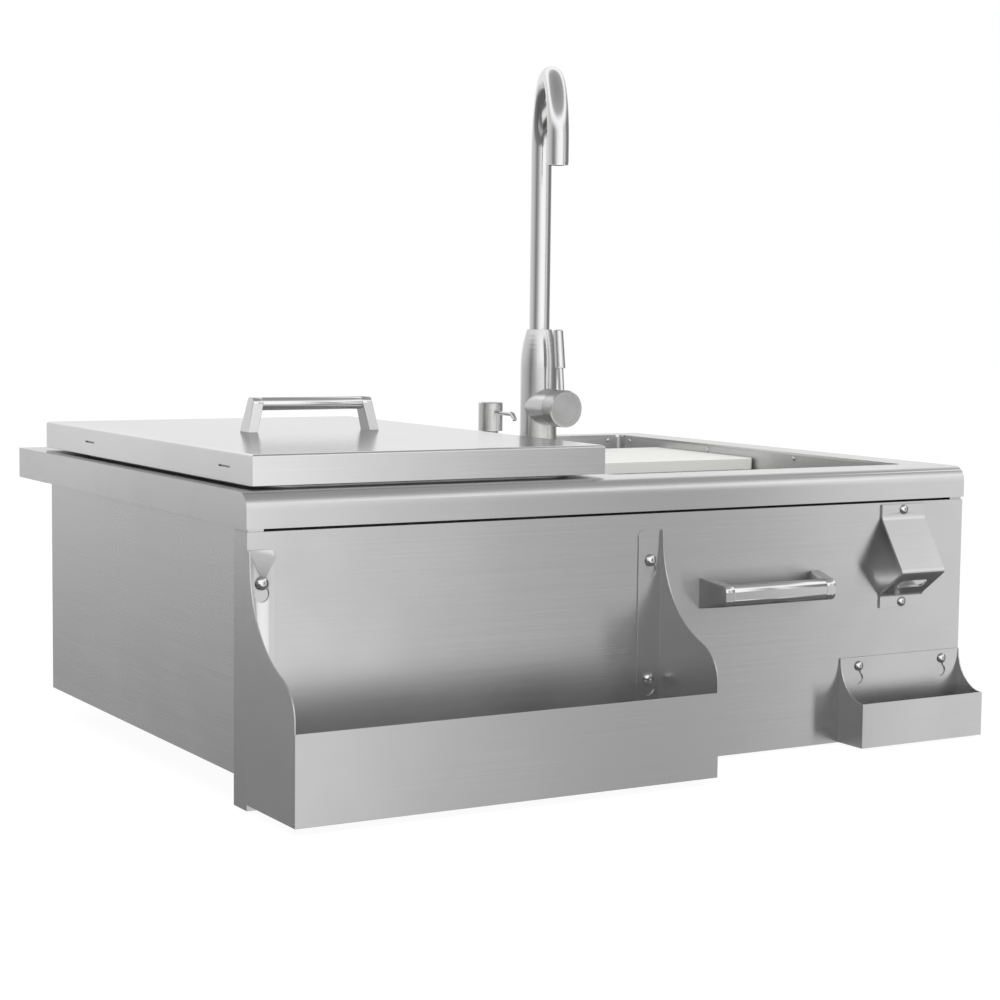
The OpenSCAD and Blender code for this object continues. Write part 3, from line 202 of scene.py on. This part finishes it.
ramp_of(studio["low_ring"].color_ramp, [((bearing + 180) / 360, light) for bearing, light in low_bearings])
ramp_of(studio["over"].color_ramp,
        [(0.3, 0.95), (0.45, 1.1), (0.58, 1.05), (0.69, 0.4), (0.85, 0.34), (1.0, 0.28)])
bpy.context.scene.world = world


def soft_box(name, place, aim, width, height, power):
    """A rectangular lamp at a place, facing a point, that steel doesn't mirror."""
    lamp = bpy.data.lights.new(name, "AREA")
    lamp.shape = "RECTANGLE"
    lamp.size = width
    lamp.size_y = height
    lamp.energy = power
    lamp_object = bpy.data.objects.new(name, lamp)
    lamp_object.location = place
    lamp_object.visible_glossy = False
    lamp_object.rotation_euler = (Vector(aim) - Vector(place)).to_track_quat("-Z", "Y").to_euler()
    bpy.context.scene.collection.objects.link(lamp_object)


soft_box("front_box", (-0.8, -2.4, 1.8), (0, -0.2, 0), 1.4, 1.4, 30)

# The deck is one sheet of stainless steel with a brushed grain along its width. Its front edge is
# rolled over, the other edges are folded down, and a lip turned in below rests on the counter.


def steel(name, grain, colour, rough, spread=0.015, smudge=0.05, depth=0.00001, anisotropic=0.9,
          fine=2200.0, turned_at=None):
    """Brushed steel with its grain along an axis, or round that axis through a point. What it mirrors is
    smeared across the grain, as brushing does."""
    axis = [0.0, 0.0, 0.0]
    axis[grain] = 1.0
    across = [fine, fine, fine]
    across[grain] = fine / 260
    made = {
        "at": ("ShaderNodeTexCoord", {}, {}),
        "grain_map": ("ShaderNodeMapping", {}, {"Vector": ("at", "Object"), "Scale": tuple(across)}),
        "streak_map": ("ShaderNodeVectorMath", {"operation": "SCALE"},
                       {0: ("grain_map", 0), "Scale": 0.37}),
        "grain": ("ShaderNodeTexNoise", {},
                  {"Vector": ("grain_map", 0), "Scale": 1.0, "Detail": 2.0, "Roughness": 0.6}),
        "streaks": ("ShaderNodeTexNoise", {},
                    {"Vector": ("streak_map", 0), "Scale": 1.0, "Detail": 3.0, "Roughness": 0.6}),
        "clouds": ("ShaderNodeTexNoise", {},
                   {"Vector": ("at", "Object"), "Scale": 7.0, "Detail": 5.0, "Roughness": 0.55}),
        "both": ("ShaderNodeMath", {"operation": "MULTIPLY_ADD"},
                 {0: ("streaks", 0), 1: 0.6, 2: ("grain", 0)}),
        "dull": ("ShaderNodeMapRange", {},
                 {"Value": ("both", 0), "From Min": 0.55, "From Max": 1.05, "To Min": rough - spread,
                  "To Max": rough + spread}),
        "smear": ("ShaderNodeMapRange", {},
                  {"Value": ("clouds", 0), "From Min": 0.35, "From Max": 0.7, "To Min": 0.0,
                   "To Max": smudge}),
        "roughness": ("ShaderNodeMath", {"operation": "ADD"}, {0: ("dull", 0), 1: ("smear", 0)}),
        "tone": ("ShaderNodeMapRange", {},
                 {"Value": ("both", 0), "From Min": 0.55, "From Max": 1.05, "To Min": 0.97,
                  "To Max": 1.03}),
        "haze": ("ShaderNodeMapRange", {},
                 {"Value": ("clouds", 0), "From Min": 0.3, "From Max": 0.7, "To Min": 1.02,
                  "To Max": 0.97}),
        "level": ("ShaderNodeMath", {"operation": "MULTIPLY"}, {0: ("tone", 0), 1: ("haze", 0)}),
        "tint": ("ShaderNodeVectorMath", {"operation": "SCALE"}, {0: colour, "Scale": ("level", 0)}),
        "relief": ("ShaderNodeBump", {}, {"Height": ("both", 0), "Strength": 0.3, "Distance": depth}),
        "flow": ("ShaderNodeCombineXYZ", {}, {0: axis[0], 1: axis[1], 2: axis[2]}),
        "shade": ("ShaderNodeBsdfPrincipled", {},
                  {"Base Color": ("tint", 0), "Metallic": 1.0, "Roughness": ("roughness", 0),
                                                    "Anisotropic": anisotropic,
                                                    "Anisotropic Rotation": 0.25,
                                                    "Normal": ("relief", 0), "Tangent": ("flow", 0)}),
        "out": ("ShaderNodeOutputMaterial", {}, {"Surface": ("shade", 0)}),
    }
    if turned_at is not None:
        made["arm"] = ("ShaderNodeVectorMath", {"operation": "SUBTRACT"},
                       {0: ("at", "Object"), 1: tuple(turned_at)})
        made["round"] = ("ShaderNodeVectorMath", {"operation": "CROSS_PRODUCT"},
                         {0: ("flow", 0), 1: ("arm", 0)})
        made["radius"] = ("ShaderNodeVectorMath", {"operation": "LENGTH"}, {0: ("round", 0)})
        made["height"] = ("ShaderNodeVectorMath", {"operation": "DOT_PRODUCT"},
                          {0: ("flow", 0), 1: ("arm", 0)})
        made["lathe"] = ("ShaderNodeCombineXYZ", {}, {0: ("radius", "Value"), 1: ("height", "Value")})
        made["wander"] = ("ShaderNodeVectorMath", {"operation": "MULTIPLY_ADD"},
                          {0: ("at", "Object"), 1: (0.03, 0.03, 0.03), 2: ("lathe", 0)})
        made["grain_map"] = ("ShaderNodeVectorMath", {"operation": "SCALE"},
                             {0: ("wander", 0), "Scale": fine / 2})
        made["shade"][2]["Tangent"] = ("round", 0)
    return material(name, made)


def finish_nodes(mat, *names):
    """Gives CAD nodes their finish in every slot."""
    for name in names:
        for slot in node[name].material_slots:
            slot.material = mat


# CAD corners closer than this are one point
weld_gap = 0.00001


def ease(name, width, segments=2, angle=38):
    """Rounds a CAD node's cut edges a little, as a deburred sheet's are."""
    weld = node[name].modifiers.new("weld", "WELD")
    weld.merge_threshold = weld_gap
    flat = node[name].modifiers.new("flat", "DECIMATE")
    flat.decimate_type = "DISSOLVE"
    flat.angle_limit = math.radians(1)
    bevel = node[name].modifiers.new("bevel", "BEVEL")
    bevel.width = width
    bevel.segments = segments
    bevel.limit_method = "ANGLE"
    bevel.angle_limit = math.radians(angle)
    bevel.harden_normals = True


deck_steel = steel("brushed_along_width", 0, (0.84, 0.84, 0.84), 0.2, smudge=0.03)
finish_nodes(deck_steel, "top_deck")
ease("top_deck", 0.0003)

# The body below the deck is folded from thinner sheet: two sides with turned edges, a back and a floor,
# held together by screws. The sides are brushed from front to back.
side_steel = steel("brushed_along_depth", 1, (0.84, 0.84, 0.84), 0.24, smudge=0.05)
panel_steel = steel("brushed_panel", 0, (0.83, 0.83, 0.83), 0.22, smudge=0.05)
finish_nodes(side_steel, "side_left", "side_right")
finish_nodes(panel_steel, "back_panel", "floor_panel")

# The front panel is a tray-folded sheet that hangs in front of the body and reaches below it.
finish_nodes(panel_steel, "front_panel")
ease("front_panel", 0.0003)

# The sink is one pressed and welded piece: a shallow recess with ledges and a deep bowl. It has a satin
# finish without a clear grain, and the drawn corners are a little cloudy.
satin = steel("satin_sink", 0, (0.78, 0.78, 0.78), 0.33, smudge=0.12, anisotropic=0.55, fine=1400.0)
finish_nodes(satin, "sink")

# Dome head screws of polished stainless steel with a hexagon socket hold the fittings to the panel, the
# back to the body and the sink to the deck. Those of the hung fittings have a nut behind the panel.
bright = steel("polished_hardware", 2, (0.88, 0.88, 0.88), 0.08, smudge=0.03, depth=0.000003,
               anisotropic=0.2)

screw_tree = bpy.data.node_groups.new("dome_screws", "GeometryNodeTree")
for name, kind in (("Places", "NodeSocketGeometry"), ("Head radius", "NodeSocketFloat"),
                   ("Head height", "NodeSocketFloat"),
                   ("Socket radius", "NodeSocketFloat"), ("Shank radius", "NodeSocketFloat"),
                   ("Length", "NodeSocketFloat"),
                   ("Nut depth", "NodeSocketFloat"), ("Nut height", "NodeSocketFloat"),
                   ("Has nut", "NodeSocketBool"),
                   ("Finish", "NodeSocketMaterial")):
    screw_tree.interface.new_socket(name, in_out="INPUT", socket_type=kind)
screw_tree.interface.new_socket("Screws", in_out="OUTPUT", socket_type="NodeSocketGeometry")
nodes_of(screw_tree, {
    "in": ("NodeGroupInput", {}, {}),
    "ball": ("GeometryNodeMeshUVSphere", {}, {"Segments": 32, "Rings": 16, "Radius": 1.0}),
    "where": ("GeometryNodeInputPosition", {}, {}),
    "height": ("ShaderNodeSeparateXYZ", {}, {0: ("where", 0)}),
    "middle": ("ShaderNodeMath", {"operation": "SUBTRACT"}, {0: ("height", 2), 1: 0.46}),
    "reach": ("ShaderNodeMath", {"operation": "ABSOLUTE"}, {0: ("middle", 0)}),
    "outside": ("FunctionNodeCompare", {"operation": "GREATER_THAN"}, {0: ("reach", 0), 1: 0.47}),
    "cut": ("GeometryNodeDeleteGeometry", {"domain": "FACE"},
            {"Geometry": ("ball", "Mesh"), "Selection": ("outside", 0)}),
    "disc": ("GeometryNodeMeshCircle", {"fill_type": "NGON"}, {"Vertices": 32, "Radius": 1.0}),
    "seat": ("GeometryNodeFlipFaces", {}, {"Mesh": ("disc", 0)}),
    "flat": ("GeometryNodeMeshCircle", {"fill_type": "NGON"},
             {"Vertices": 32, "Radius": math.sin(math.pi / 8)}),
    "top": ("GeometryNodeTransform", {},
            {"Geometry": ("flat", 0), "Translation": (0, 0, math.cos(math.pi / 8))}),
    "open": ("GeometryNodeJoinGeometry", {}, {0: [("cut", 0), ("seat", 0), ("top", 0)]}),
    "dome": ("GeometryNodeMergeByDistance", {}, {"Geometry": ("open", 0), "Distance": 0.001}),
    "head_size": ("ShaderNodeCombineXYZ", {},
                  {0: ("in", "Head radius"), 1: ("in", "Head radius"), 2: ("in", "Head height")}),
    "head": ("GeometryNodeTransform", {}, {"Geometry": ("dome", 0), "Scale": ("head_size", 0)}),
    "key": ("GeometryNodeMeshCylinder", {},
            {"Vertices": 6, "Radius": ("in", "Socket radius"), "Depth": ("in", "Head height")}),
    "key_at": ("ShaderNodeCombineXYZ", {}, {2: ("in", "Head height")}),
    "key_up": ("GeometryNodeTransform", {}, {"Geometry": ("key", "Mesh"), "Translation": ("key_at", 0)}),
    "bored": ("GeometryNodeMeshBoolean", {"operation": "DIFFERENCE"}, {0: ("head", 0), 1: ("key_up", 0)}),
    "shank": ("GeometryNodeMeshCylinder", {},
              {"Vertices": 24, "Radius": ("in", "Shank radius"), "Depth": ("in", "Length")}),
    "half": ("ShaderNodeMath", {"operation": "MULTIPLY"}, {0: ("in", "Length"), 1: -0.5}),
    "shank_at": ("ShaderNodeCombineXYZ", {}, {2: ("half", 0)}),
    "shank_down": ("GeometryNodeTransform", {},
                   {"Geometry": ("shank", "Mesh"), "Translation": ("shank_at", 0)}),
    "nut_size": ("ShaderNodeMath", {"operation": "MULTIPLY"}, {0: ("in", "Shank radius"), 1: 2.0}),
    "nut": ("GeometryNodeMeshCylinder", {},
            {"Vertices": 6, "Radius": ("nut_size", 0), "Depth": ("in", "Nut height")}),
    "nut_low": ("ShaderNodeMath", {"operation": "MULTIPLY"}, {0: ("in", "Nut depth"), 1: -1.0}),
    "nut_at": ("ShaderNodeCombineXYZ", {}, {2: ("nut_low", 0)}),
    "nut_down": ("GeometryNodeTransform", {}, {"Geometry": ("nut", "Mesh"), "Translation": ("nut_at", 0)}),
    "nut_or_not": ("GeometryNodeSwitch", {"input_type": "GEOMETRY"},
                   {"Switch": ("in", "Has nut"), "True": ("nut_down", 0)}),
    "screw": ("GeometryNodeJoinGeometry", {}, {0: [("bored", 0), ("shank_down", 0), ("nut_or_not", 0)]}),
    "facing": ("GeometryNodeInputNamedAttribute", {"data_type": "FLOAT_VECTOR"}, {"Name": "facing"}),
    "turned": ("FunctionNodeAlignRotationToVector", {"axis": "Z"}, {"Vector": ("facing", 0)}),
    "set": ("GeometryNodeInstanceOnPoints", {},
            {"Points": ("in", "Places"), "Instance": ("screw", 0), "Rotation": ("turned", 0)}),
    "real": ("GeometryNodeRealizeInstances", {}, {"Geometry": ("set", 0)}),
    "dressed": ("GeometryNodeSetMaterial", {}, {"Geometry": ("real", 0), "Material": ("in", "Finish")}),
    "out": ("NodeGroupOutput", {}, {0: ("dressed", 0)}),
})


def grow(name, base, tree, sizes):
    """Runs a tree on a mesh of places and keeps the result as a plain mesh piece."""
    source = bpy.data.objects.new(name + "_places", base)
    bpy.context.scene.collection.objects.link(source)
    made = source.modifiers.new("made", "NODES")
    made.node_group = tree
    for item in tree.interface.items_tree:
        if item.in_out == "INPUT" and item.name in sizes:
            made[item.identifier] = sizes[item.name]
    bpy.context.view_layer.update()
    grown = bpy.data.meshes.new_from_object(source.evaluated_get(bpy.context.evaluated_depsgraph_get()))
    bpy.data.objects.remove(source)
    grown.shade_smooth()
    grown.set_sharp_from_angle(angle=math.radians(35))
    piece = bpy.data.objects.new(name, grown)
    bpy.context.scene.collection.objects.link(piece)
    return piece


def solids_of(name):
    """The lowest and highest corners of each separate solid of a CAD node."""
    shape = bmesh.new()
    shape.from_mesh(node[name].data)
    bmesh.ops.remove_doubles(shape, verts=shape.verts, dist=weld_gap)
    left = set(shape.verts)
    boxes = []
    while left:
        front, group = [left.pop()], []
        while front:
            vert = front.pop()
            group.append(vert.co.copy())
            for edge in vert.link_edges:
                other = edge.other_vert(vert)
                if other in left:
                    left.remove(other)
                    front.append(other)
        low = Vector(min(co[i] for co in group) for i in range(3))
        high = Vector(max(co[i] for co in group) for i in range(3))
        boxes.append((low, high))
    shape.free()
    return boxes


# Dome height and socket radius as shares of the head's radius, and nut height as a share of the shank's
dome_share = 0.62
socket_share = 0.26
nut_share = 1.6


def screws(name, body, head, shank, nut_from, facing_at):
    """Sets dome screws where a CAD node has its plain ones. The head's underside comes from the solid's
    box."""
    dome = head * dome_share
    places, facings, length = [], [], 0
    for low, high in solids_of(name):
        facing = facing_at((low + high) / 2)
        axis = max(range(3), key=lambda i: abs(facing[i]))
        place = (low + high) / 2
        place[axis] = (high[axis] if facing[axis] > 0 else low[axis]) - facing[axis] * dome
        length = high[axis] - low[axis] - dome
        places.append(place)
        facings.append(facing)
    base = bpy.data.meshes.new(name)
    base.from_pydata(places, [], [])
    spread = base.attributes.new("facing", "FLOAT_VECTOR", "POINT")
    for i, facing in enumerate(facings):
        spread.data[i].vector = facing
    nut_height = shank * nut_share
    piece = grow(name + "_dome", base, screw_tree, {
        "Head radius": head, "Head height": dome, "Socket radius": head * socket_share,
        "Shank radius": shank, "Length": length,
        "Nut depth": nut_from + nut_height / 2, "Nut height": nut_height, "Has nut": nut_from > 0,
        "Finish": bright})
    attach(piece, body)
    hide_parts(name)


recess_low, recess_high = (Vector(corner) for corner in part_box("sink"))


def into_recess(place):
    """The way from the nearest wall of the recess to its middle."""
    walls = ((place.x - recess_low.x, (1, 0, 0)), (recess_high.x - place.x, (-1, 0, 0)),
             (place.y - recess_low.y, (0, 1, 0)), (recess_high.y - place.y, (0, -1, 0)))
    return min(walls)[1]


screws("recess_screws", "unit", 0.0026, 0.0015, 0, into_recess)
screws("back_screws", "unit", 0.0036, 0.00175, 0, lambda place: (0, 1, 0))
screws("rail_screws", "unit", 0.0056, 0.00225, 0.00275, lambda place: (0, -1, 0))
screws("catcher_screws", "unit", 0.0048, 0.00225, 0.00275, lambda place: (0, -1, 0))
screws("opener_screws", "unit", 0.0048, 0.00225, 0.0032, lambda place: (0, -1, 0))

# The waste is a spun steel cup with a perforated basket, clamped to the bowl by a lugged nut on a rubber
# gasket. A tailpiece hangs below it in a coupling nut.
waste_axis = (0.17, -0.339, 0)
ice_drain_axis = (-0.196, -0.321, 0)
turned = steel("turned_waste", 2, (0.86, 0.86, 0.86), 0.16, turned_at=waste_axis)
turned_drain = steel("turned_drain", 2, (0.86, 0.86, 0.86), 0.16, turned_at=ice_drain_axis)
finish_nodes(turned, "strainer", "strainer_basket", "strainer_nut", "tailpiece")
finish_nodes(turned_drain, "ice_drain", "ice_drain_nut")


def plastic(name, colour, rough, grain, depth, transmission=0.0, wear=0.06):
    """Moulded plastic, rubber or foam with a fine skin and faint handling marks."""
    return material(name, {
        "at": ("ShaderNodeTexCoord", {}, {}),
        "skin": ("ShaderNodeTexNoise", {},
                 {"Vector": ("at", "Object"), "Scale": grain, "Detail": 3.0, "Roughness": 0.65}),
        "marks": ("ShaderNodeTexNoise", {},
                  {"Vector": ("at", "Object"), "Scale": 11.0, "Detail": 4.0, "Roughness": 0.6}),
        "tone": ("ShaderNodeMapRange", {},
                 {"Value": ("marks", 0), "From Min": 0.3, "From Max": 0.7, "To Min": 1.0 - wear,
                  "To Max": 1.0 + wear}),
        "tint": ("ShaderNodeVectorMath", {"operation": "SCALE"}, {0: colour, "Scale": ("tone", 0)}),
        "dull": ("ShaderNodeMapRange", {},
                 {"Value": ("marks", 0), "From Min": 0.3, "From Max": 0.7, "To Min": rough - 0.06,
                  "To Max": rough + 0.06}),
        "relief": ("ShaderNodeBump", {}, {"Height": ("skin", 0), "Strength": 0.5, "Distance": depth}),
        "shade": ("ShaderNodeBsdfPrincipled", {},
                  {"Base Color": ("tint", 0), "Roughness": ("dull", 0), "Transmission Weight": transmission,
                                                    "Normal": ("relief", 0)}),
        "out": ("ShaderNodeOutputMaterial", {}, {"Surface": ("shade", 0)}),
    })


rubber = plastic("black_rubber", (0.035, 0.035, 0.038), 0.6, 700.0, 0.00004)
finish_nodes(rubber, "strainer_gasket", "tap_gasket", "tap_washer")

# The ice bin is a drawn liner with a flat rim on the deck, set in a jacket of foam. A drain spigot with a
# hexagon nut leaves its floor.
finish_nodes(satin, "ice_liner")
foam = plastic("pale_foam", (0.85, 0.82, 0.74), 0.85, 260.0, 0.0006, wear=0.1)
finish_nodes(foam, "ice_foam", "lid_foam")

# The lid is a folded skin over foam, closed below by a pressed pan with a rubber seal. Its top is finer
# brushed than the deck and mirrors the tap and the handle. Two slits vent its left side.
lid_steel = steel("fine_brushed_lid", 0, (0.9, 0.9, 0.9), 0.13, smudge=0.02, anisotropic=0.7)
finish_nodes(lid_steel, "lid_skin")
finish_nodes(satin, "lid_pan")
finish_nodes(rubber, "lid_seal")
ease("lid_skin", 0.0003)

# Both handles are an oval polished tube between two cast ends with flat sides, screwed on from behind.
# A fine groove shows where the tube meets each end.
polished = steel("polished_handle", 0, (0.9, 0.9, 0.9), 0.13, smudge=0.03, depth=0.000003, anisotropic=0.6)
finish_nodes(polished, "lid_grip", "lid_grip_left", "lid_grip_right", "towel_bar", "towel_end_left",
             "towel_end_right")
finish_nodes(bright, "lid_grip_screws", "towel_screws")
for name in ("lid_grip", "lid_grip_left", "lid_grip_right", "towel_bar", "towel_end_left",
             "towel_end_right"):
    ease(name, 0.0004)

# The cutting board is a slab of white polyethylene with eased edges and a fine pebbled face, which lies
# across the recess on its ledges.
board = plastic("white_board", (0.93, 0.93, 0.9), 0.45, 900.0, 0.00005, wear=0.015)
finish_nodes(board, "cutting_board")
ease("cutting_board", 0.0012, 3)

# The tap has a turned body with a valve housing at its front, a lever on a cap, and a bent tube spout
# that swivels. It is finely brushed round its own axes.
tap_axis = (0.205, -0.058, 0)
cap_axis = (0.205, 0, 0.067)
lever_axis = (0.205, -0.109, 0)
tap_steel = steel("turned_tap", 2, (0.86, 0.86, 0.86), 0.2, spread=0.03, smudge=0.04, turned_at=tap_axis)
cap_steel = steel("turned_cap", 1, (0.7, 0.7, 0.7), 0.25, spread=0.03, anisotropic=0.4, turned_at=cap_axis)
lever_steel = steel("turned_lever", 2, (0.86, 0.86, 0.86), 0.17, spread=0.03, smudge=0.03,
                    turned_at=lever_axis)
spout_steel = steel("satin_spout", 2, (0.86, 0.86, 0.86), 0.17, smudge=0.03, anisotropic=0.3, fine=1200.0)
finish_nodes(tap_steel, "tap_body")
finish_nodes(spout_steel, "spout")
finish_nodes(cap_steel, "valve_cap")
finish_nodes(lever_steel, "lever_rod", "lever_grip")
finish_nodes(bright, "valve_spindle", "tap_shank", "tap_nut", "aerator")

# The soap pump has a turned collar and head, a bent nozzle, and under the deck a nut and a plastic bottle
# with a dip tube.
pump_axis = (0.142, -0.058, 0)
pump_steel = steel("turned_pump", 2, (0.86, 0.86, 0.86), 0.18, spread=0.03, smudge=0.03,
                   turned_at=pump_axis)
finish_nodes(pump_steel, "soap_collar", "pump_head")
finish_nodes(bright, "pump_nozzle", "pump_stem")
clear = plastic("cloudy_bottle", (0.8, 0.84, 0.86), 0.3, 300.0, 0.00005, transmission=0.5)
finish_nodes(clear, "soap_bottle", "dip_tube")
white_plastic = plastic("white_plastic", (0.8, 0.8, 0.78), 0.35, 500.0, 0.00003)
finish_nodes(white_plastic, "soap_bushing", "soap_nut")

# The pump's return spring is a coil of steel wire. It stands on the bushing round the stem and is fixed
# to the pump's swivel as one rigid piece, so it keeps its length when the head is pressed down.
spring_low, spring_high = (Vector(corner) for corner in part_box("pump_spring"))
spring_middle = (spring_low + spring_high) / 2
spring_height = spring_high.z - spring_low.z
wire_radius = 0.0004
coil_tree = bpy.data.node_groups.new("wire_coil", "GeometryNodeTree")
for name, kind in (("Places", "NodeSocketGeometry"), ("Coil radius", "NodeSocketFloat"),
                   ("Wire radius", "NodeSocketFloat"),
                   ("Rise", "NodeSocketFloat"), ("Turns", "NodeSocketFloat"),
                   ("Finish", "NodeSocketMaterial")):
    coil_tree.interface.new_socket(name, in_out="INPUT", socket_type=kind)
coil_tree.interface.new_socket("Coil", in_out="OUTPUT", socket_type="NodeSocketGeometry")
nodes_of(coil_tree, {
    "in": ("NodeGroupInput", {}, {}),
    "path": ("GeometryNodeCurveSpiral", {},
             {"Resolution": 24, "Rotations": ("in", "Turns"), "Start Radius": ("in", "Coil radius"),
                                             "End Radius": ("in", "Coil radius"),
                                             "Height": ("in", "Rise")}),
    "wire": ("GeometryNodeCurvePrimitiveCircle", {}, {"Resolution": 8, "Radius": ("in", "Wire radius")}),
    "swept": ("GeometryNodeCurveToMesh", {},
              {"Curve": ("path", 0), "Profile Curve": ("wire", 0), "Fill Caps": True}),
    "set": ("GeometryNodeInstanceOnPoints", {}, {"Points": ("in", "Places"), "Instance": ("swept", 0)}),
    "real": ("GeometryNodeRealizeInstances", {}, {"Geometry": ("set", 0)}),
    "dressed": ("GeometryNodeSetMaterial", {}, {"Geometry": ("real", 0), "Material": ("in", "Finish")}),
    "out": ("NodeGroupOutput", {}, {0: ("dressed", 0)}),
})
spring_foot = bpy.data.meshes.new("spring_foot")
spring_foot.from_pydata([(spring_middle.x, spring_middle.y, spring_low.z + wire_radius)], [], [])
spring = grow("return_spring", spring_foot, coil_tree, {
    "Coil radius": (spring_high.x - spring_low.x) / 2 - wire_radius, "Wire radius": wire_radius,
    "Rise": spring_height - 2 * wire_radius, "Turns": 7.0, "Finish": bright})
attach(spring, "pump_swivel")
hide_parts("pump_spring")
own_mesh(spring)

# The bottle rail, the cap catcher and the bottle opener are folded from brushed sheet with eased cut
# edges. The rail and the catcher hang on their screws by keyholes.
hung_steel = steel("brushed_fittings", 0, (0.84, 0.84, 0.84), 0.22, smudge=0.04)
finish_nodes(hung_steel, "bottle_rail", "cap_catcher", "bottle_opener")
for name in ("bottle_rail", "cap_catcher"):
    ease(name, 0.0003)
ease("bottle_opener", 0.0004)
